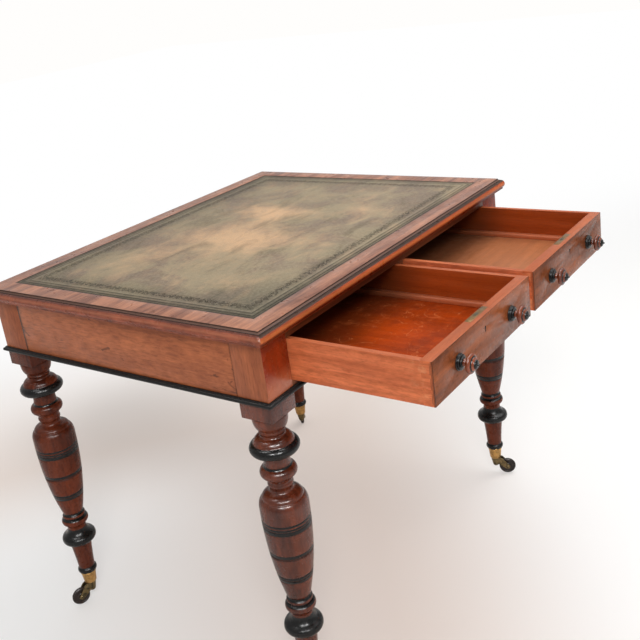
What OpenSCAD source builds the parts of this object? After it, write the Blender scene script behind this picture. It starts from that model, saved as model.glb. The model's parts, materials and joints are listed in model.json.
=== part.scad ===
// Victorian writing table: leather top, two frieze drawers, turned legs on brass casters.
// Millimetres, +Z up, floor at z = 0. The drawers are on the front, which faces -Y.

/* [Overall] */
// Height of the writing surface above the floor
table_h = 760; // [720:5:800]
// Length of the frieze over the leg posts
frame_l = 876; // [800:4:1000]
// Depth of the frieze over the leg posts
frame_w = 676; // [620:4:760]
// How far both drawers stand open
pull = 264; // [0:1:400]

/* [Top] */
// Thickness of the solid top board
board_t = 24; // [20:1:30]
// Width of the bare wood border round the leather
border_w = 39; // [25:1:60]
// Thickness of the leather
leather_t = 1.6; // [1:0.1:2.5]
// How far the leather lies below the border
leather_drop = 0.4; // [0.2:0.1:0.8]
// How far the flat of the board stands out past the frieze
overhang = 6; // [3:0.5:12]
// Width of the ebonised fillet let into the edge of the board
fillet_w = 5.5; // [4:0.5:8]
// Height of the ebonised fillet
fillet_h = 8; // [6:0.5:10]
// Height of the flat lip under the edge moulding
lip_h = 4.5; // [3:0.5:6]
// Depth of the quirk where the round of the edge starts
quirk = 1; // [0.5:0.5:2]

/* [Frieze] */
// Depth of the frieze from the top board to the lower edge
frieze_h = 114; // [100:1:140]
// Side of the square leg posts
post_w = 65; // [55:1:72]
// Thickness of the side and back aprons
apron_t = 22; // [16:1:28]
// Thickness of the rails over and under the drawers
rail_t = 19; // [15:1:22]
// Width of the upright between the drawers
divider_w = 18; // [14:1:30]
// Height of the ebonised bead along the lower edge
bead_h = 9.5; // [7:0.5:12]
// How far the ebonised bead stands out
bead_out = 7; // [5:0.5:10]
// Length of the tenons on the aprons and rails
tenon_l = 24; // [15:1:28]
// Thickness of the tenons on the aprons and rails
tenon_t = 10; // [6:1:12]

/* [Legs] */
// How far the square posts reach below the frieze
block_drop = 29.5; // [15:0.5:40]
// Depth of the middle of the turned disc below the block
disc_drop = 61.5; // [60:0.5:68]
// Largest radius of the turned disc
disc_r = 43.5; // [38:0.5:48]
// Depth of the middle of the small ring below the block
ring_drop = 108.5; // [107:0.5:116]
// Radius of the small ring under the disc
ring_r = 32.5; // [29:0.5:36]
// Radius of the neck between the disc and the small ring
neck_r = 22.6; // [20:0.2:26]
// Radius of the waist between the small ring and the vase
waist_r = 20.5; // [19:0.5:24]
// Depth of the widest part of the inverted vase below the block
vase_drop = 181.5; // [180:0.5:200]
// Largest radius of the inverted vase
vase_r = 43.5; // [40:0.5:48]
// Height of the foot of the vase above the floor
vase_foot_z = 233; // [230:1:260]
// Radius of the narrow foot of the vase
vase_foot_r = 22; // [19:0.5:25]
// Height of the widest part of the ebonised collar above the floor
collar_z = 166.5; // [160:0.5:170]
// Radius of the ebonised collar above the ankle
collar_r = 36; // [28:0.5:38]
// Radius at the top of the tapered ankle
ankle_top_r = 22.5; // [18:0.5:24]
// Radius at the bottom of the tapered ankle
ankle_r = 17.2; // [14:0.1:18]
// Height of the small ebonised bead above the floor
foot_bead_z = 82; // [82:0.5:90]
// Radius of the small ebonised bead above the caster
foot_bead_r = 20.5; // [18:0.1:22]

/* [Casters] */
// Radius of the caster wheels
wheel_r = 20; // [18:0.5:21.5]
// Width of the caster wheels
wheel_w = 10; // [9:0.5:12]
// Distance from the swivel axis to the wheel axle
trail = 28; // [27:0.5:32]
// Height of the brass cup
cup_h = 28; // [24:0.5:30]
// Height of the under side of the brass cup above the floor
cup_z = 47; // [44:0.5:48]
// Radius of the cup at its mouth
cup_r = 16.4; // [15:0.1:17]
// Radius of the wheel pin
pin_r = 3; // [2.5:0.1:3.5]
// Radius of the swivel spindle
spindle_r = 4; // [3.5:0.1:5]
// Thickness of the two cheeks of the horn
cheek_t = 3.2; // [2.5:0.1:4]
// Swivel direction of the front left caster in degrees
turn_front_left = 248; // [0:1:359]
// Swivel direction of the front right caster in degrees
turn_front_right = 297; // [0:1:359]
// Swivel direction of the back left caster in degrees
turn_back_left = 158; // [0:1:359]
// Swivel direction of the back right caster in degrees
turn_back_right = 36; // [0:1:359]

/* [Drawers] */
// Depth of the drawers from front to back
drawer_d = 560; // [480:5:575]
// Thickness of the drawer fronts
front_t = 20; // [18:1:24]
// Thickness of the drawer sides
side_t = 10; // [8:0.5:12]
// Thickness of the drawer backs
back_t = 9; // [8:0.5:12]
// Thickness of the drawer bottoms
bottom_t = 6.5; // [5:0.5:8]
// Height of the drawer bottoms above the lower edge of the sides
bottom_lift = 5.5; // [5:0.5:8]
// Width of the slips that hold the bottoms
slip_w = 11; // [9:0.5:14]
// How far the slips stand above the bottoms
slip_rise = 9.5; // [6:0.5:14]
// How much lower the drawer backs are than the sides
back_drop = 5; // [3:0.5:10]
// Wood left in front of the dovetails
lap = 4; // [3:0.5:7]
// Number of dovetails at each corner
tails = 3; // [2:1:4]
// Distance from the drawer centre to each knob
knob_x = 98; // [70:1:115]
// Radius of the ebonised rose of the knobs
rose_r = 14; // [12:0.5:18]
// Radius of the button of the knobs
button_r = 16.5; // [14:0.5:21]
// How far the knobs stand out of the fronts
knob_l = 35; // [32:1:44]
// Depth of the keyholes below the top edge of the fronts
keyhole_drop = 24; // [20:0.5:28]

/* [Locks] */
// Width of the lock case
lock_w = 62; // [50:1:70]
// Height of the lock case
lock_h = 40; // [36:1:44]
// Depth of the lock case
lock_d = 10; // [9:0.5:13]
// Thickness of the brass plate on top of the lock
plate_t = 2; // [1.5:0.1:2.5]
// Width of the lock bolt
bolt_w = 14; // [10:1:20]
// Thickness of the lock bolt
bolt_t = 5; // [4:0.5:6]
// Length of the lock bolt
bolt_l = 22; // [18:1:24]
// How far the bolt shoots up
bolt_throw = 6.5; // [4:0.5:7]

/* [Fits] */
// Gap between a drawer and the wood on either side
side_gap = 1.5; // [1:0.1:2.5]
// Gap between a drawer and the rail over it
top_gap = 1.2; // [0.8:0.1:2]
// Gap between pieces that move past each other
slide_gap = 0.3; // [0.3:0.05:0.6]
// Radial clearance of pins and spindles
run_gap = 0.06; // [0.03:0.01:0.1]
// Glue line between the mitred lengths of the fillet and the bead
glue_line = 0.1; // [0.05:0.05:0.2]

/* [Hidden] */
$fn = 64;
arc_steps = 8;
vase_steps = 14;
vase_power = 2.15;
mahogany = "#7d3d24";
mahogany_red = "#9c4a26";
ebony = "#1f1a18";
brass = "#b08a4a";
olive = "#5f5a3c";
deal = "#b98a5a";
horn_brown = "#35241d";
over = 1;
// Longer than any piece, for cuts that go right through
beyond = 400;

// Heights of the carcase
top_z = table_h;
board_z = table_h - board_t;
frieze_z = board_z - frieze_h;
block_z = frieze_z - block_drop;
opening_z0 = frieze_z + rail_t;
opening_z1 = board_z - rail_t;
// Plan of the carcase
top_l = frame_l + 2 * overhang;
top_w = frame_w + 2 * overhang;
post_in_x = frame_l / 2 - post_w;
post_in_y = frame_w / 2 - post_w;
leg_x = frame_l / 2 - post_w / 2;
leg_y = frame_w / 2 - post_w / 2;
// Section of the moulded edge: the round stands on the lip
edge_top = board_t - fillet_h / 2 - quirk / 2;
round_r = (edge_top - lip_h) * 0.57;
round_c = edge_top - round_r;
edge_out = fillet_w + round_r;
lip_out = round_r * 0.4;
// Drawer size and place
drawer_w = (2 * post_in_x - divider_w) / 2 - 2 * side_gap;
drawer_h = opening_z1 - opening_z0 - top_gap - slide_gap;
drawer_x = divider_w / 2 + side_gap + drawer_w / 2;
drawer_z = opening_z0 + slide_gap;
knob_z = drawer_h / 2;
groove_d = slip_w * 0.55;
front_groove = 6;
bottom_top = bottom_lift + bottom_t;
slip_z = 1.5;
slip_round = 4;
tail_slope = 0.14;
tenon_r = 6.5;
keyhole_r = 2.8;
keyhole_slot = 2.6;
keyhole_len = 8;
// Hidden softwood pieces under the top
guide_h = 20;
side_bearing = 28;
centre_bearing = 31;
kicker_reach = 40;
stop_l = 36;
stop_w = 24;
glue_side = 26;
glue_len = 60;
screw_head_r = 4.6;
screw_head_h = 3;
screw_r = 2.3;
screw_l = 32;
screw_point = 4;
// Middle and width of the two outer kickers
kicker_x = (frame_l / 2 - apron_t + post_in_x - side_bearing) / 2;
kicker_w = frame_l / 2 - apron_t - post_in_x + side_bearing;
// Wheel of the casters
eye_r = 6;
cheek_gap = 0.5;
boss_r = 10.8;
cup_floor = 12;
spindle_l = 9.5;
boss_tip_z = 23;
boss_tip_r = trail - wheel_r - 0.5;
// The open drawers reach further forward than the top reaches back, so the
// table stands back of the origin, which is the middle of the whole footprint.
reach_front = max(frame_w / 2 + pull + knob_l, top_w / 2 + edge_out);
reach_back = top_w / 2 + edge_out;
table_y = (reach_front - reach_back) / 2;

// Points along an oval arc, with separate half axes across and up
function oval(c, rx, ry, a0, a1, n = arc_steps) =
    [for (i = [0:n]) let (a = a0 + (a1 - a0) * i / n) [c[0] + rx * cos(a), c[1] + ry * sin(a)]];

// Everything is laid out from the middle of the table on the floor
module at_table(p = [0, 0, 0]) {
    translate([p[0], p[1] + table_y, p[2]]) children();
}

// A block given by its low corner and its high corner
module block(low, high) {
    translate(low) cube(high - low);
}

// A section in X and Z, drawn out along Y from y0 to y1
module along_y(y0, y1) {
    translate([0, y1, 0]) rotate([90, 0, 0]) linear_extrude(y1 - y0) children();
}

// One mitred length of a moulding. The section lies in x (outwards) and y (up),
// the inner edge is run long, and both ends are cut at 45 degrees.
module mitred(run, reach) {
    end = run / 2 - glue_line / 2;
    intersection() {
        translate([-run / 2 - reach - over, 0, 0]) rotate([90, 0, 90])
            linear_extrude(run + 2 * reach + 2 * over) children();
        translate([0, 0, -beyond]) linear_extrude(2 * beyond)
            polygon([[-end, 0], [end, 0], [end + reach, reach], [-end - reach, reach]]);
    }
}

// Four mitred lengths round a rectangle, one on each side
module mitred_frame(l, w, reach) {
    translate([0, w / 2, 0]) mitred(l, reach) children();
    rotate([0, 0, 180]) translate([0, w / 2, 0]) mitred(l, reach) children();
    rotate([0, 0, 90]) translate([0, l / 2, 0]) mitred(w, reach) children();
    rotate([0, 0, 270]) translate([0, l / 2, 0]) mitred(w, reach) children();
}

// Thumb moulding worked on the edge of the board: a round that stands on a flat lip.
// The points run from its foot to its top, measured out from the rebate of the fillet.
function thumb_points() = concat(
    [[lip_out, 0], [lip_out, lip_h]],
    oval([0, round_c], round_r, round_r, asin((lip_h - round_c) / round_r), 90, 14));

// Section of the edge from the body of the board outwards, under the fillet's rebate
module edge_section() {
    body = -fillet_w - over;
    polygon(concat([[body, 0]], thumb_points(), [[0, board_t - fillet_h],
        [body, board_t - fillet_h]]));
}

// The moulding turns round each corner of the rebate
module moulded_corner() {
    rotate_extrude(angle = 90) polygon(concat([[0, 0]], thumb_points()));
}

// One solid board with the moulding on all its edges. The leather has a shallow bed.
module top_board() {
    x = top_l / 2 + fillet_w;
    y = top_w / 2 + fillet_w;
    color(mahogany) at_table([0, 0, board_z]) difference() {
        union() {
            block([-top_l / 2, -top_w / 2, 0], [top_l / 2, top_w / 2, board_t]);
            for (t = [0, 180]) rotate([0, 0, t]) {
                along_y(-y, y) translate([x, 0]) edge_section();
                rotate([0, 0, 90]) along_y(-x, x) translate([y, 0]) edge_section();
                translate([x, y, 0]) moulded_corner();
                translate([-x, y, 0]) rotate([0, 0, 90]) moulded_corner();
            }
        }
        translate([0, 0, board_t - leather_drop - leather_t]) leather_block(leather_t + over);
        translate([0, 0, -board_z]) screw_places() screw_shape();
    }
}

module leather_block(h) {
    l = top_l - 2 * border_w;
    w = top_w - 2 * border_w;
    block([-l / 2, -w / 2, 0], [l / 2, w / 2, h]);
}

module leather_top() {
    color(olive) at_table([0, 0, top_z - leather_drop - leather_t]) leather_block(leather_t);
}

// The fillet lies in its rebate and falls away from the top in a shallow step
module ebonised_fillet() {
    color(ebony) at_table([0, 0, top_z - fillet_h]) mitred_frame(top_l, top_w, fillet_w)
        polygon([[0, 0], [fillet_w, 0], [fillet_w, fillet_h / 2], [1, fillet_h - 2], [1, fillet_h],
            [0, fillet_h]]);
}

// Tenon of an apron, centred on its own height, and the mortise it fills
module apron_tenon(y0, y1) {
    block([-tenon_t / 2, y0, frieze_z + rail_t], [tenon_t / 2, y1, board_z - rail_t]);
}

module side_apron() {
    block([frame_l / 2 - apron_t, -post_in_y, frieze_z], [frame_l / 2, post_in_y, board_z]);
    translate([frame_l / 2 - apron_t / 2, 0, 0])
        apron_tenon(-post_in_y - tenon_l, post_in_y + tenon_l);
}

module right_apron() {
    color(mahogany) at_table() side_apron();
}

module left_apron() {
    color(mahogany) at_table() mirror([1, 0, 0]) side_apron();
}

module back_apron() {
    color(mahogany) at_table() {
        block([-post_in_x, frame_w / 2 - apron_t, frieze_z], [post_in_x, frame_w / 2, board_z]);
        translate([0, frame_w / 2 - apron_t / 2, 0]) rotate([0, 0, 90])
            apron_tenon(-post_in_x - tenon_l, post_in_x + tenon_l);
    }
}

// Stub tenon of a front rail, in the middle of the thickness of the rail
module rail_tenon(z) {
    block([-post_in_x - tenon_l, -frame_w / 2 + post_w / 3, z + rail_t / 2 - tenon_t / 2],
        [post_in_x + tenon_l, -frame_w / 2 + post_w * 2 / 3, z + rail_t / 2 + tenon_t / 2]);
}

module front_rail(z) {
    block([-post_in_x, -frame_w / 2, z], [post_in_x, -post_in_y, z + rail_t]);
    rail_tenon(z);
}

// The rail over the drawers is mortised for the two lock bolts
module top_rail() {
    w = bolt_w / 2 + 1;
    y = -frame_w / 2 + front_t - lock_d / 2;
    color(mahogany) at_table() difference() {
        front_rail(opening_z1);
        for (s = [-1, 1]) translate([s * drawer_x, y, opening_z1])
            block([-w, -bolt_t / 2 - 1, -over], [w, bolt_t / 2 + 1, bolt_throw + 1]);
    }
}

module bottom_rail() {
    color(mahogany) at_table() front_rail(frieze_z);
}

module drawer_divider() {
    color(mahogany) at_table()
        block([-divider_w / 2, -frame_w / 2, opening_z0], [divider_w / 2, -post_in_y, opening_z1]);
}

// Half round bead with a small flat above it
module apron_bead() {
    r = (bead_h - 1.5) / 2;
    color(ebony) at_table([0, 0, frieze_z]) mitred_frame(frame_l, frame_w, bead_out)
        polygon(concat([[0, 0]], oval([bead_out - r, r], r, r, -90, 90),
            [[bead_out - r, bead_h], [0, bead_h]]));
}

// Rebated runner: the drawer slides on the low part and is guided by the high part
module side_runner() {
    bearing = post_in_x - side_bearing;
    color(deal) along_y(-post_in_y, post_in_y)
        polygon([[bearing, frieze_z], [frame_l / 2 - apron_t, frieze_z],
            [frame_l / 2 - apron_t, opening_z0 + guide_h], [post_in_x, opening_z0 + guide_h],
            [post_in_x, opening_z0], [bearing, opening_z0]]);
}

module right_runner() {
    at_table() side_runner();
}

module left_runner() {
    at_table() mirror([1, 0, 0]) side_runner();
}

// The runner between the drawers carries both and has one guide along its middle
module centre_runner() {
    bearing = divider_w / 2 + centre_bearing;
    color(deal) at_table() along_y(-post_in_y, frame_w / 2 - apron_t)
        polygon([[-bearing, frieze_z], [bearing, frieze_z], [bearing, opening_z0],
            [divider_w / 2, opening_z0], [divider_w / 2, opening_z0 + guide_h],
            [-divider_w / 2, opening_z0 + guide_h], [-divider_w / 2, opening_z0],
            [-bearing, opening_z0]]);
}

// Kickers over the drawer sides keep the open drawers from tipping
module kickers() {
    color(deal) at_table() difference() {
        for (s = [-1, 0, 1]) translate([s * kicker_x, 0, 0]) {
            w = s == 0 ? 2 * kicker_reach : kicker_w;
            block([-w / 2, -post_in_y, opening_z1], [w / 2, post_in_y, board_z]);
        }
        screw_places() screw_shape();
    }
}

// Blocks on the lower rail that the drawer fronts close against
module drawer_stops() {
    y = -frame_w / 2 + front_t + slide_gap;
    h = bottom_lift - 1;
    color(deal) at_table() for (s = [-1, 1], t = [-1, 1])
        translate([s * drawer_x + t * drawer_w / 4, y, opening_z0])
            block([-stop_l / 2, 0, 0], [stop_l / 2, stop_w, h]);
}

module glue_blocks() {
    y = frame_w / 2 - apron_t;
    color(deal) at_table() for (x = [-0.72, -0.36, 0.36, 0.72])
        translate([x * post_in_x - glue_len / 2, y, board_z]) rotate([90, 0, 90])
            linear_extrude(glue_len) polygon([[0, 0], [-glue_side, 0], [0, -glue_side]]);
}

// Countersunk wood screw, head down, that holds the top to the kickers
module screw_shape() {
    rotate_extrude() polygon([[0, 0], [screw_head_r, 0], [screw_r, screw_head_h],
        [screw_r, screw_l - screw_point], [0, screw_l]]);
}

module screw_places() {
    for (s = [-1, 0, 1], y = [-0.6, 0.6])
        translate([s * kicker_x, y * post_in_y, opening_z1]) children();
}

module top_screws() {
    color("#6d6a64") at_table() screw_places() screw_shape();
}

// Profile of the turned part of a leg, from the foot in the caster cup up to the
// block, as points [radius, height]
function foot_profile() = let (top = cup_z + cup_h) [
    [0, cup_z + cup_floor], [cup_r - 4.9, cup_z + cup_floor], [cup_r - 1.9, top], [cup_r, top]];
function ankle_profile() = let (z = foot_bead_z + 7, top = collar_z - 15) concat(
    [[ankle_r - 0.7, foot_bead_z - 6]],
    oval([ankle_r - 1, foot_bead_z], foot_bead_r - ankle_r + 1, 6, -75, 75, 6),
    [for (i = [0:4]) [ankle_r + (ankle_top_r - ankle_r) * pow(i / 4, 1.3), z + (top - z) * i / 4]]);
function collar_profile() = concat(
    [[ankle_top_r + 1, collar_z - 13], [collar_r - 8, collar_z - 10]],
    oval([collar_r - 7, collar_z], 7, 8, -70, 60, 6),
    oval([collar_r - 2, collar_z + 29], collar_r - 21.5, 22, 250, 185, 6));
function lower_rings() = let (z = vase_foot_z - 22.5) concat(
    [[20.5, z - 14.5], [22.5, z - 9.5]],
    oval([vase_foot_r, z], 6.2, 6.8, -65, 68, 6),
    [[vase_foot_r - 0.3, z + 8.5]],
    oval([vase_foot_r - 1.5, z + 12.5], 3.4, 3.4, -60, 60, 4),
    [[vase_foot_r - 1.8, z + 17.5], [vase_foot_r - 1.8, z + 19.5]]);
function vase_profile() = let (z0 = vase_foot_z, z1 = block_z - vase_drop) concat(
    [for (i = [0:vase_steps]) let (t = i / vase_steps)
        [vase_foot_r + (vase_r - vase_foot_r) * (1 - pow(1 - t, vase_power)), z0 + (z1 - z0) * t]],
    oval([vase_r - 8, z1 + 7], 8, 17, 0, 66, 6));
function shoulder_profile() = let (z = block_z - vase_drop + 23.4) concat(
    [[vase_r - 5.6, z], [vase_r - 6.6, z + 0.6]],
    oval([waist_r + 2, z + 0.6], vase_r - waist_r - 9, 10, 5, 74, 6),
    [[waist_r + 1.2, z + 12.1], [waist_r - 0.4, z + 15.5], [waist_r - 0.4, z + 20.5]]);
function upper_rings() = let (z = block_z - ring_drop) concat(
    [[waist_r + 1.4, z - 26.5], [waist_r + 2.2, z - 23.5], [waist_r + 1.4, z - 20.5],
        [waist_r + 0.2, z - 18], [waist_r + 2.6, z - 13.5], [ring_r - 8, z - 11]],
    oval([ring_r - 8, z], 8, 9, -65, 62, 8),
    [[neck_r + 2, z + 9], [neck_r + 1.4, z + 10.5], [neck_r, z + 13.5], [neck_r, disc_z() - 12]]);
function disc_z() = block_z - disc_drop;
function disc_profile() = let (z = disc_z()) concat(
    [[neck_r + 4, z - 11.5], [neck_r + 8, z - 10.5]],
    oval([disc_r - 10.5, z], 10.5, 10, -75, 66, 8),
    [[disc_r - 7.5, z + 10.2]],
    oval([23, z + 8], disc_r - 31, 13, 18, 72, 6),
    [[21, z + 25], [21, z + 27.5], [23.2, z + 28.6], [23.2, z + 31.2], [21.9, z + 32.4]]);
function cup_profile() = concat(
    oval([19, block_z - 4.5], 11.8, 24, -70, -10, 7),
    [[30.8, block_z - 4.5], [30.4, block_z - 2], [29.2, block_z - 0.6],
        [28.5, block_z], [28.5, block_z + over], [0, block_z + over]]);

module turned_leg() {
    rotate_extrude() polygon(concat(foot_profile(), ankle_profile(), collar_profile(),
        lower_rings(), vase_profile(), shoulder_profile(), upper_rings(), disc_profile(),
        cup_profile()));
}

// A leg with its square post. sx and sy are the signs of the corner it stands at.
module leg(sx, sy) {
    h = post_w / 2;
    at_table([sx * leg_x, sy * leg_y, 0]) difference() {
        union() {
            turned_leg();
            block([-h, -h, block_z], [h, h, board_z]);
        }
        translate([sx * (h - apron_t / 2), 0, 0])
            apron_tenon(sy > 0 ? -h - over : h - tenon_l, sy > 0 ? tenon_l - h : h + over);
        if (sy > 0)
            translate([0, h - apron_t / 2, 0]) rotate([0, 0, 90])
                apron_tenon(sx > 0 ? -tenon_l + h : -h - over, sx > 0 ? h + over : tenon_l - h);
        else
            for (z = [frieze_z, opening_z1]) translate([-sx * leg_x, -sy * leg_y, 0])
                rail_tenon(z);
    }
}

module leg_front_left() {
    color(mahogany) leg(-1, -1);
}

module leg_front_right() {
    color(mahogany) leg(1, -1);
}

module leg_back_left() {
    color(mahogany) leg(-1, 1);
}

module leg_back_right() {
    color(mahogany) leg(1, 1);
}

// Brass cup: a tapered socket for the foot over a boss bored for the spindle
module caster_cup(sx, sy) {
    top = cup_z + cup_h;
    color(brass) at_table([sx * leg_x, sy * leg_y, 0]) difference() {
        rotate_extrude() polygon([
            [0, cup_z], [cup_r - 4, cup_z], [cup_r - 3.2, cup_z + 1.5], [cup_r - 0.6, top - 4],
            [cup_r + 0.4, top - 3], [cup_r + 0.4, top - 0.8], [cup_r, top], [cup_r - 1.9, top],
            [cup_r - 4.9, cup_z + cup_floor], [0, cup_z + cup_floor]]);
        translate([0, 0, cup_z - over]) cylinder(h = spindle_l + 1 + over, r = spindle_r + run_gap);
    }
}

module caster_cup_front_left() {
    caster_cup(-1, -1);
}

module caster_cup_front_right() {
    caster_cup(1, -1);
}

module caster_cup_back_left() {
    caster_cup(-1, 1);
}

module caster_cup_back_right() {
    caster_cup(1, 1);
}

// Places a caster piece under a leg, turned so that the wheel trails towards +X
module at_caster(sx, sy, turn) {
    at_table([sx * leg_x, sy * leg_y, 0]) rotate([0, 0, turn]) children();
}

// Side view of a cheek: a broad arm from the boss down to the eye of the pin
module cheek_outline() {
    top = cup_z - slide_gap - 1;
    polygon([[-3, top], [9, top], [17, top - 3], [trail + 4.4, wheel_r + 4.1],
        [trail, wheel_r - eye_r], [trail - 5, wheel_r - 3.3], [6, boss_tip_z + 6],
        [0, boss_tip_z + 12]]);
    translate([trail, wheel_r]) circle(eye_r);
}

module caster_horn(sx, sy, turn) {
    top = cup_z - slide_gap;
    inner = wheel_w / 2 + cheek_gap;
    color(brass) at_caster(sx, sy, turn) difference() {
        union() {
            rotate_extrude() polygon(concat([[0, boss_tip_z]],
                oval([3, boss_tip_z + 5], boss_tip_r - 3, 5, -90, -10, 5),
                [[9.4, 36], [boss_r, top - 3], [boss_r, top], [spindle_r, top],
                    [spindle_r, top + spindle_l], [0, top + spindle_l]]));
            for (s = [-1, 1]) translate([0, s * (inner + cheek_t / 2) + cheek_t / 2, 0])
                rotate([90, 0, 0]) linear_extrude(cheek_t) cheek_outline();
            block([-2, -inner, 38], [12, inner, top - 1]);
        }
        translate([trail, 0, wheel_r]) rotate([90, 0, 0])
            cylinder(h = 4 * wheel_w, r = pin_r, center = true);
    }
}

module caster_horn_front_left() {
    caster_horn(-1, -1, turn_front_left);
}

module caster_horn_front_right() {
    caster_horn(1, -1, turn_front_right);
}

module caster_horn_back_left() {
    caster_horn(-1, 1, turn_back_left);
}

module caster_horn_back_right() {
    caster_horn(1, 1, turn_back_right);
}

// Wheel pin with a riveted head on each cheek
module caster_pin(sx, sy, turn) {
    half = wheel_w / 2 + cheek_gap + cheek_t;
    color(brass) at_caster(sx, sy, turn) translate([trail, 0, wheel_r]) rotate([90, 0, 0])
        rotate_extrude() polygon([[0, -half - 1.2], [3, -half - 1.2], [4.4, -half], [pin_r, -half],
            [pin_r, half], [4.4, half], [3, half + 1.2], [0, half + 1.2]]);
}

module caster_pin_front_left() {
    caster_pin(-1, -1, turn_front_left);
}

module caster_pin_front_right() {
    caster_pin(1, -1, turn_front_right);
}

module caster_pin_back_left() {
    caster_pin(-1, 1, turn_back_left);
}

module caster_pin_back_right() {
    caster_pin(1, 1, turn_back_right);
}

// Wheel with a crowned tread, dished faces and a hub
module caster_wheel(sx, sy, turn) {
    h = wheel_w / 2;
    bore = pin_r + run_gap;
    color(horn_brown) at_caster(sx, sy, turn) translate([trail, 0, wheel_r]) rotate([90, 0, 0])
        rotate_extrude() polygon(concat(
            [[bore, -h], [7, -h], [8.5, -h + 1.2], [wheel_r - 5.5, -h + 1.2], [wheel_r - 4.5, -h + 0.4]],
            oval([wheel_r - 4.5, 0], 4.5, h - 0.4, -80, 80),
            [[wheel_r - 4.5, h - 0.4], [wheel_r - 5.5, h - 1.2], [8.5, h - 1.2], [7, h], [bore, h]]));
}

module caster_wheel_front_left() {
    caster_wheel(-1, -1, turn_front_left);
}

module caster_wheel_front_right() {
    caster_wheel(1, -1, turn_front_right);
}

module caster_wheel_back_left() {
    caster_wheel(-1, 1, turn_back_left);
}

module caster_wheel_back_right() {
    caster_wheel(1, 1, turn_back_right);
}

// Drawer pieces are laid out from the middle of the lower edge of the front face
module at_drawer(s) {
    at_table([s * drawer_x, -frame_w / 2 - pull, drawer_z]) children();
}

// Dovetails seen from the side of the drawer, between the heights z0 and z1.
// They start at y = y0, are l long and spread towards the far end.
module tail_outlines(y0, l, z0, z1, n) {
    pitch = (z1 - z0) / n;
    root = pitch * 0.3;
    spread = root + abs(l) * tail_slope;
    inside = y0 - sign(l) * over;
    for (i = [0:n - 1]) translate([0, z0 + pitch * (i + 0.5)])
        polygon([[inside, -root], [inside, root], [y0, root], [y0 + l, spread],
            [y0 + l, -spread], [y0, -root]]);
}

// The tails of both ends of a drawer side, cut through its thickness
module side_tails(x, widen = 0) {
    translate([x, 0, 0]) rotate([90, 0, 90]) linear_extrude(side_t + widen) {
        tail_outlines(front_t, lap - front_t, 0, drawer_h, tails);
        tail_outlines(drawer_d - back_t, back_t, bottom_top, drawer_h - back_drop, 2);
    }
}

// Keyhole in the X and Z plane, round at the top with a slot below
module keyhole(depth) {
    translate([0, depth, drawer_h - keyhole_drop]) rotate([90, 0, 0]) linear_extrude(depth + over) {
        translate([0, keyhole_len / 2 - keyhole_r / 2]) circle(keyhole_r);
        translate([-keyhole_slot / 2, -keyhole_len / 2 - keyhole_r / 2])
            square([keyhole_slot, keyhole_len]);
    }
}

// Space that the lock fills at the back of a drawer front
module lock_body() {
    block([-lock_w / 2, front_t - lock_d, drawer_h - lock_h], [lock_w / 2, front_t, drawer_h - plate_t]);
    block([-lock_w / 2 - 2, front_t - lock_d - 1, drawer_h - plate_t],
        [lock_w / 2 + 2, front_t, drawer_h]);
}

// The front is lapped over the dovetails, grooved for the bottom, and let in for the lock
module drawer_front(s) {
    half = drawer_w / 2;
    color(mahogany) at_drawer(s) difference() {
        block([-half, 0, 0], [half, front_t, drawer_h]);
        side_tails(-half - over, over);
        side_tails(half - side_t, over);
        block([side_t + slip_w - groove_d - half, front_t - front_groove, bottom_lift],
            [half - side_t - slip_w + groove_d, front_t + over, bottom_top]);
        lock_body();
        keyhole(front_t);
        for (x = [-knob_x, knob_x]) translate([x, 0, knob_z]) rotate([-90, 0, 0])
            translate([0, 0, -over]) cylinder(h = front_t + 2 * over, r = tenon_r);
    }
}

module left_drawer_front() {
    drawer_front(-1);
}

module right_drawer_front() {
    drawer_front(1);
}

// A drawer side runs from the back of the front to the face of the back, plus its tails
module drawer_side(s, x) {
    color(mahogany_red) at_drawer(s) {
        difference() {
            block([x, front_t, 0], [x + side_t, drawer_d, drawer_h]);
            block([x - over, drawer_d - back_t, bottom_top],
                [x + side_t + over, drawer_d + over, drawer_h + over]);
        }
        side_tails(x);
    }
}

module left_drawer_side_left() {
    drawer_side(-1, -drawer_w / 2);
}

module left_drawer_side_right() {
    drawer_side(-1, drawer_w / 2 - side_t);
}

module right_drawer_side_left() {
    drawer_side(1, -drawer_w / 2);
}

module right_drawer_side_right() {
    drawer_side(1, drawer_w / 2 - side_t);
}

module drawer_back(s) {
    half = drawer_w / 2;
    color(mahogany_red) at_drawer(s) difference() {
        block([-half, drawer_d - back_t, bottom_top], [half, drawer_d, drawer_h - back_drop]);
        side_tails(-half - over, over);
        side_tails(half - side_t, over);
    }
}

module left_drawer_back() {
    drawer_back(-1);
}

module right_drawer_back() {
    drawer_back(1);
}

// The bottom slides in from behind, under the back
module drawer_bottom(s) {
    half = drawer_w / 2 - side_t - slip_w + groove_d;
    color(mahogany_red) at_drawer(s)
        block([-half, front_t - front_groove, bottom_lift], [half, drawer_d, bottom_top]);
}

module left_drawer_bottom() {
    drawer_bottom(-1);
}

module right_drawer_bottom() {
    drawer_bottom(1);
}

// Slip with a groove for the bottom and a rounded upper edge
module slip_section() {
    top = bottom_top + slip_rise;
    difference() {
        polygon(concat([[0, slip_z], [slip_w, slip_z]],
            oval([slip_w - slip_round, top - slip_round], slip_round, slip_round, 0, 90),
            [[0, top]]));
        translate([slip_w - groove_d, bottom_lift]) square([slip_w, bottom_t]);
    }
}

module drawer_slips(s) {
    edge = drawer_w / 2 - side_t;
    color(mahogany_red) at_drawer(s) difference() {
        for (m = [0, 1]) mirror([m, 0, 0]) translate([-edge, 0, 0])
            along_y(front_t, drawer_d) slip_section();
        block([-edge, drawer_d - back_t, bottom_top], [edge, drawer_d + over, drawer_h]);
    }
}

module left_drawer_slips() {
    drawer_slips(-1);
}

module right_drawer_slips() {
    drawer_slips(1);
}

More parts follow.
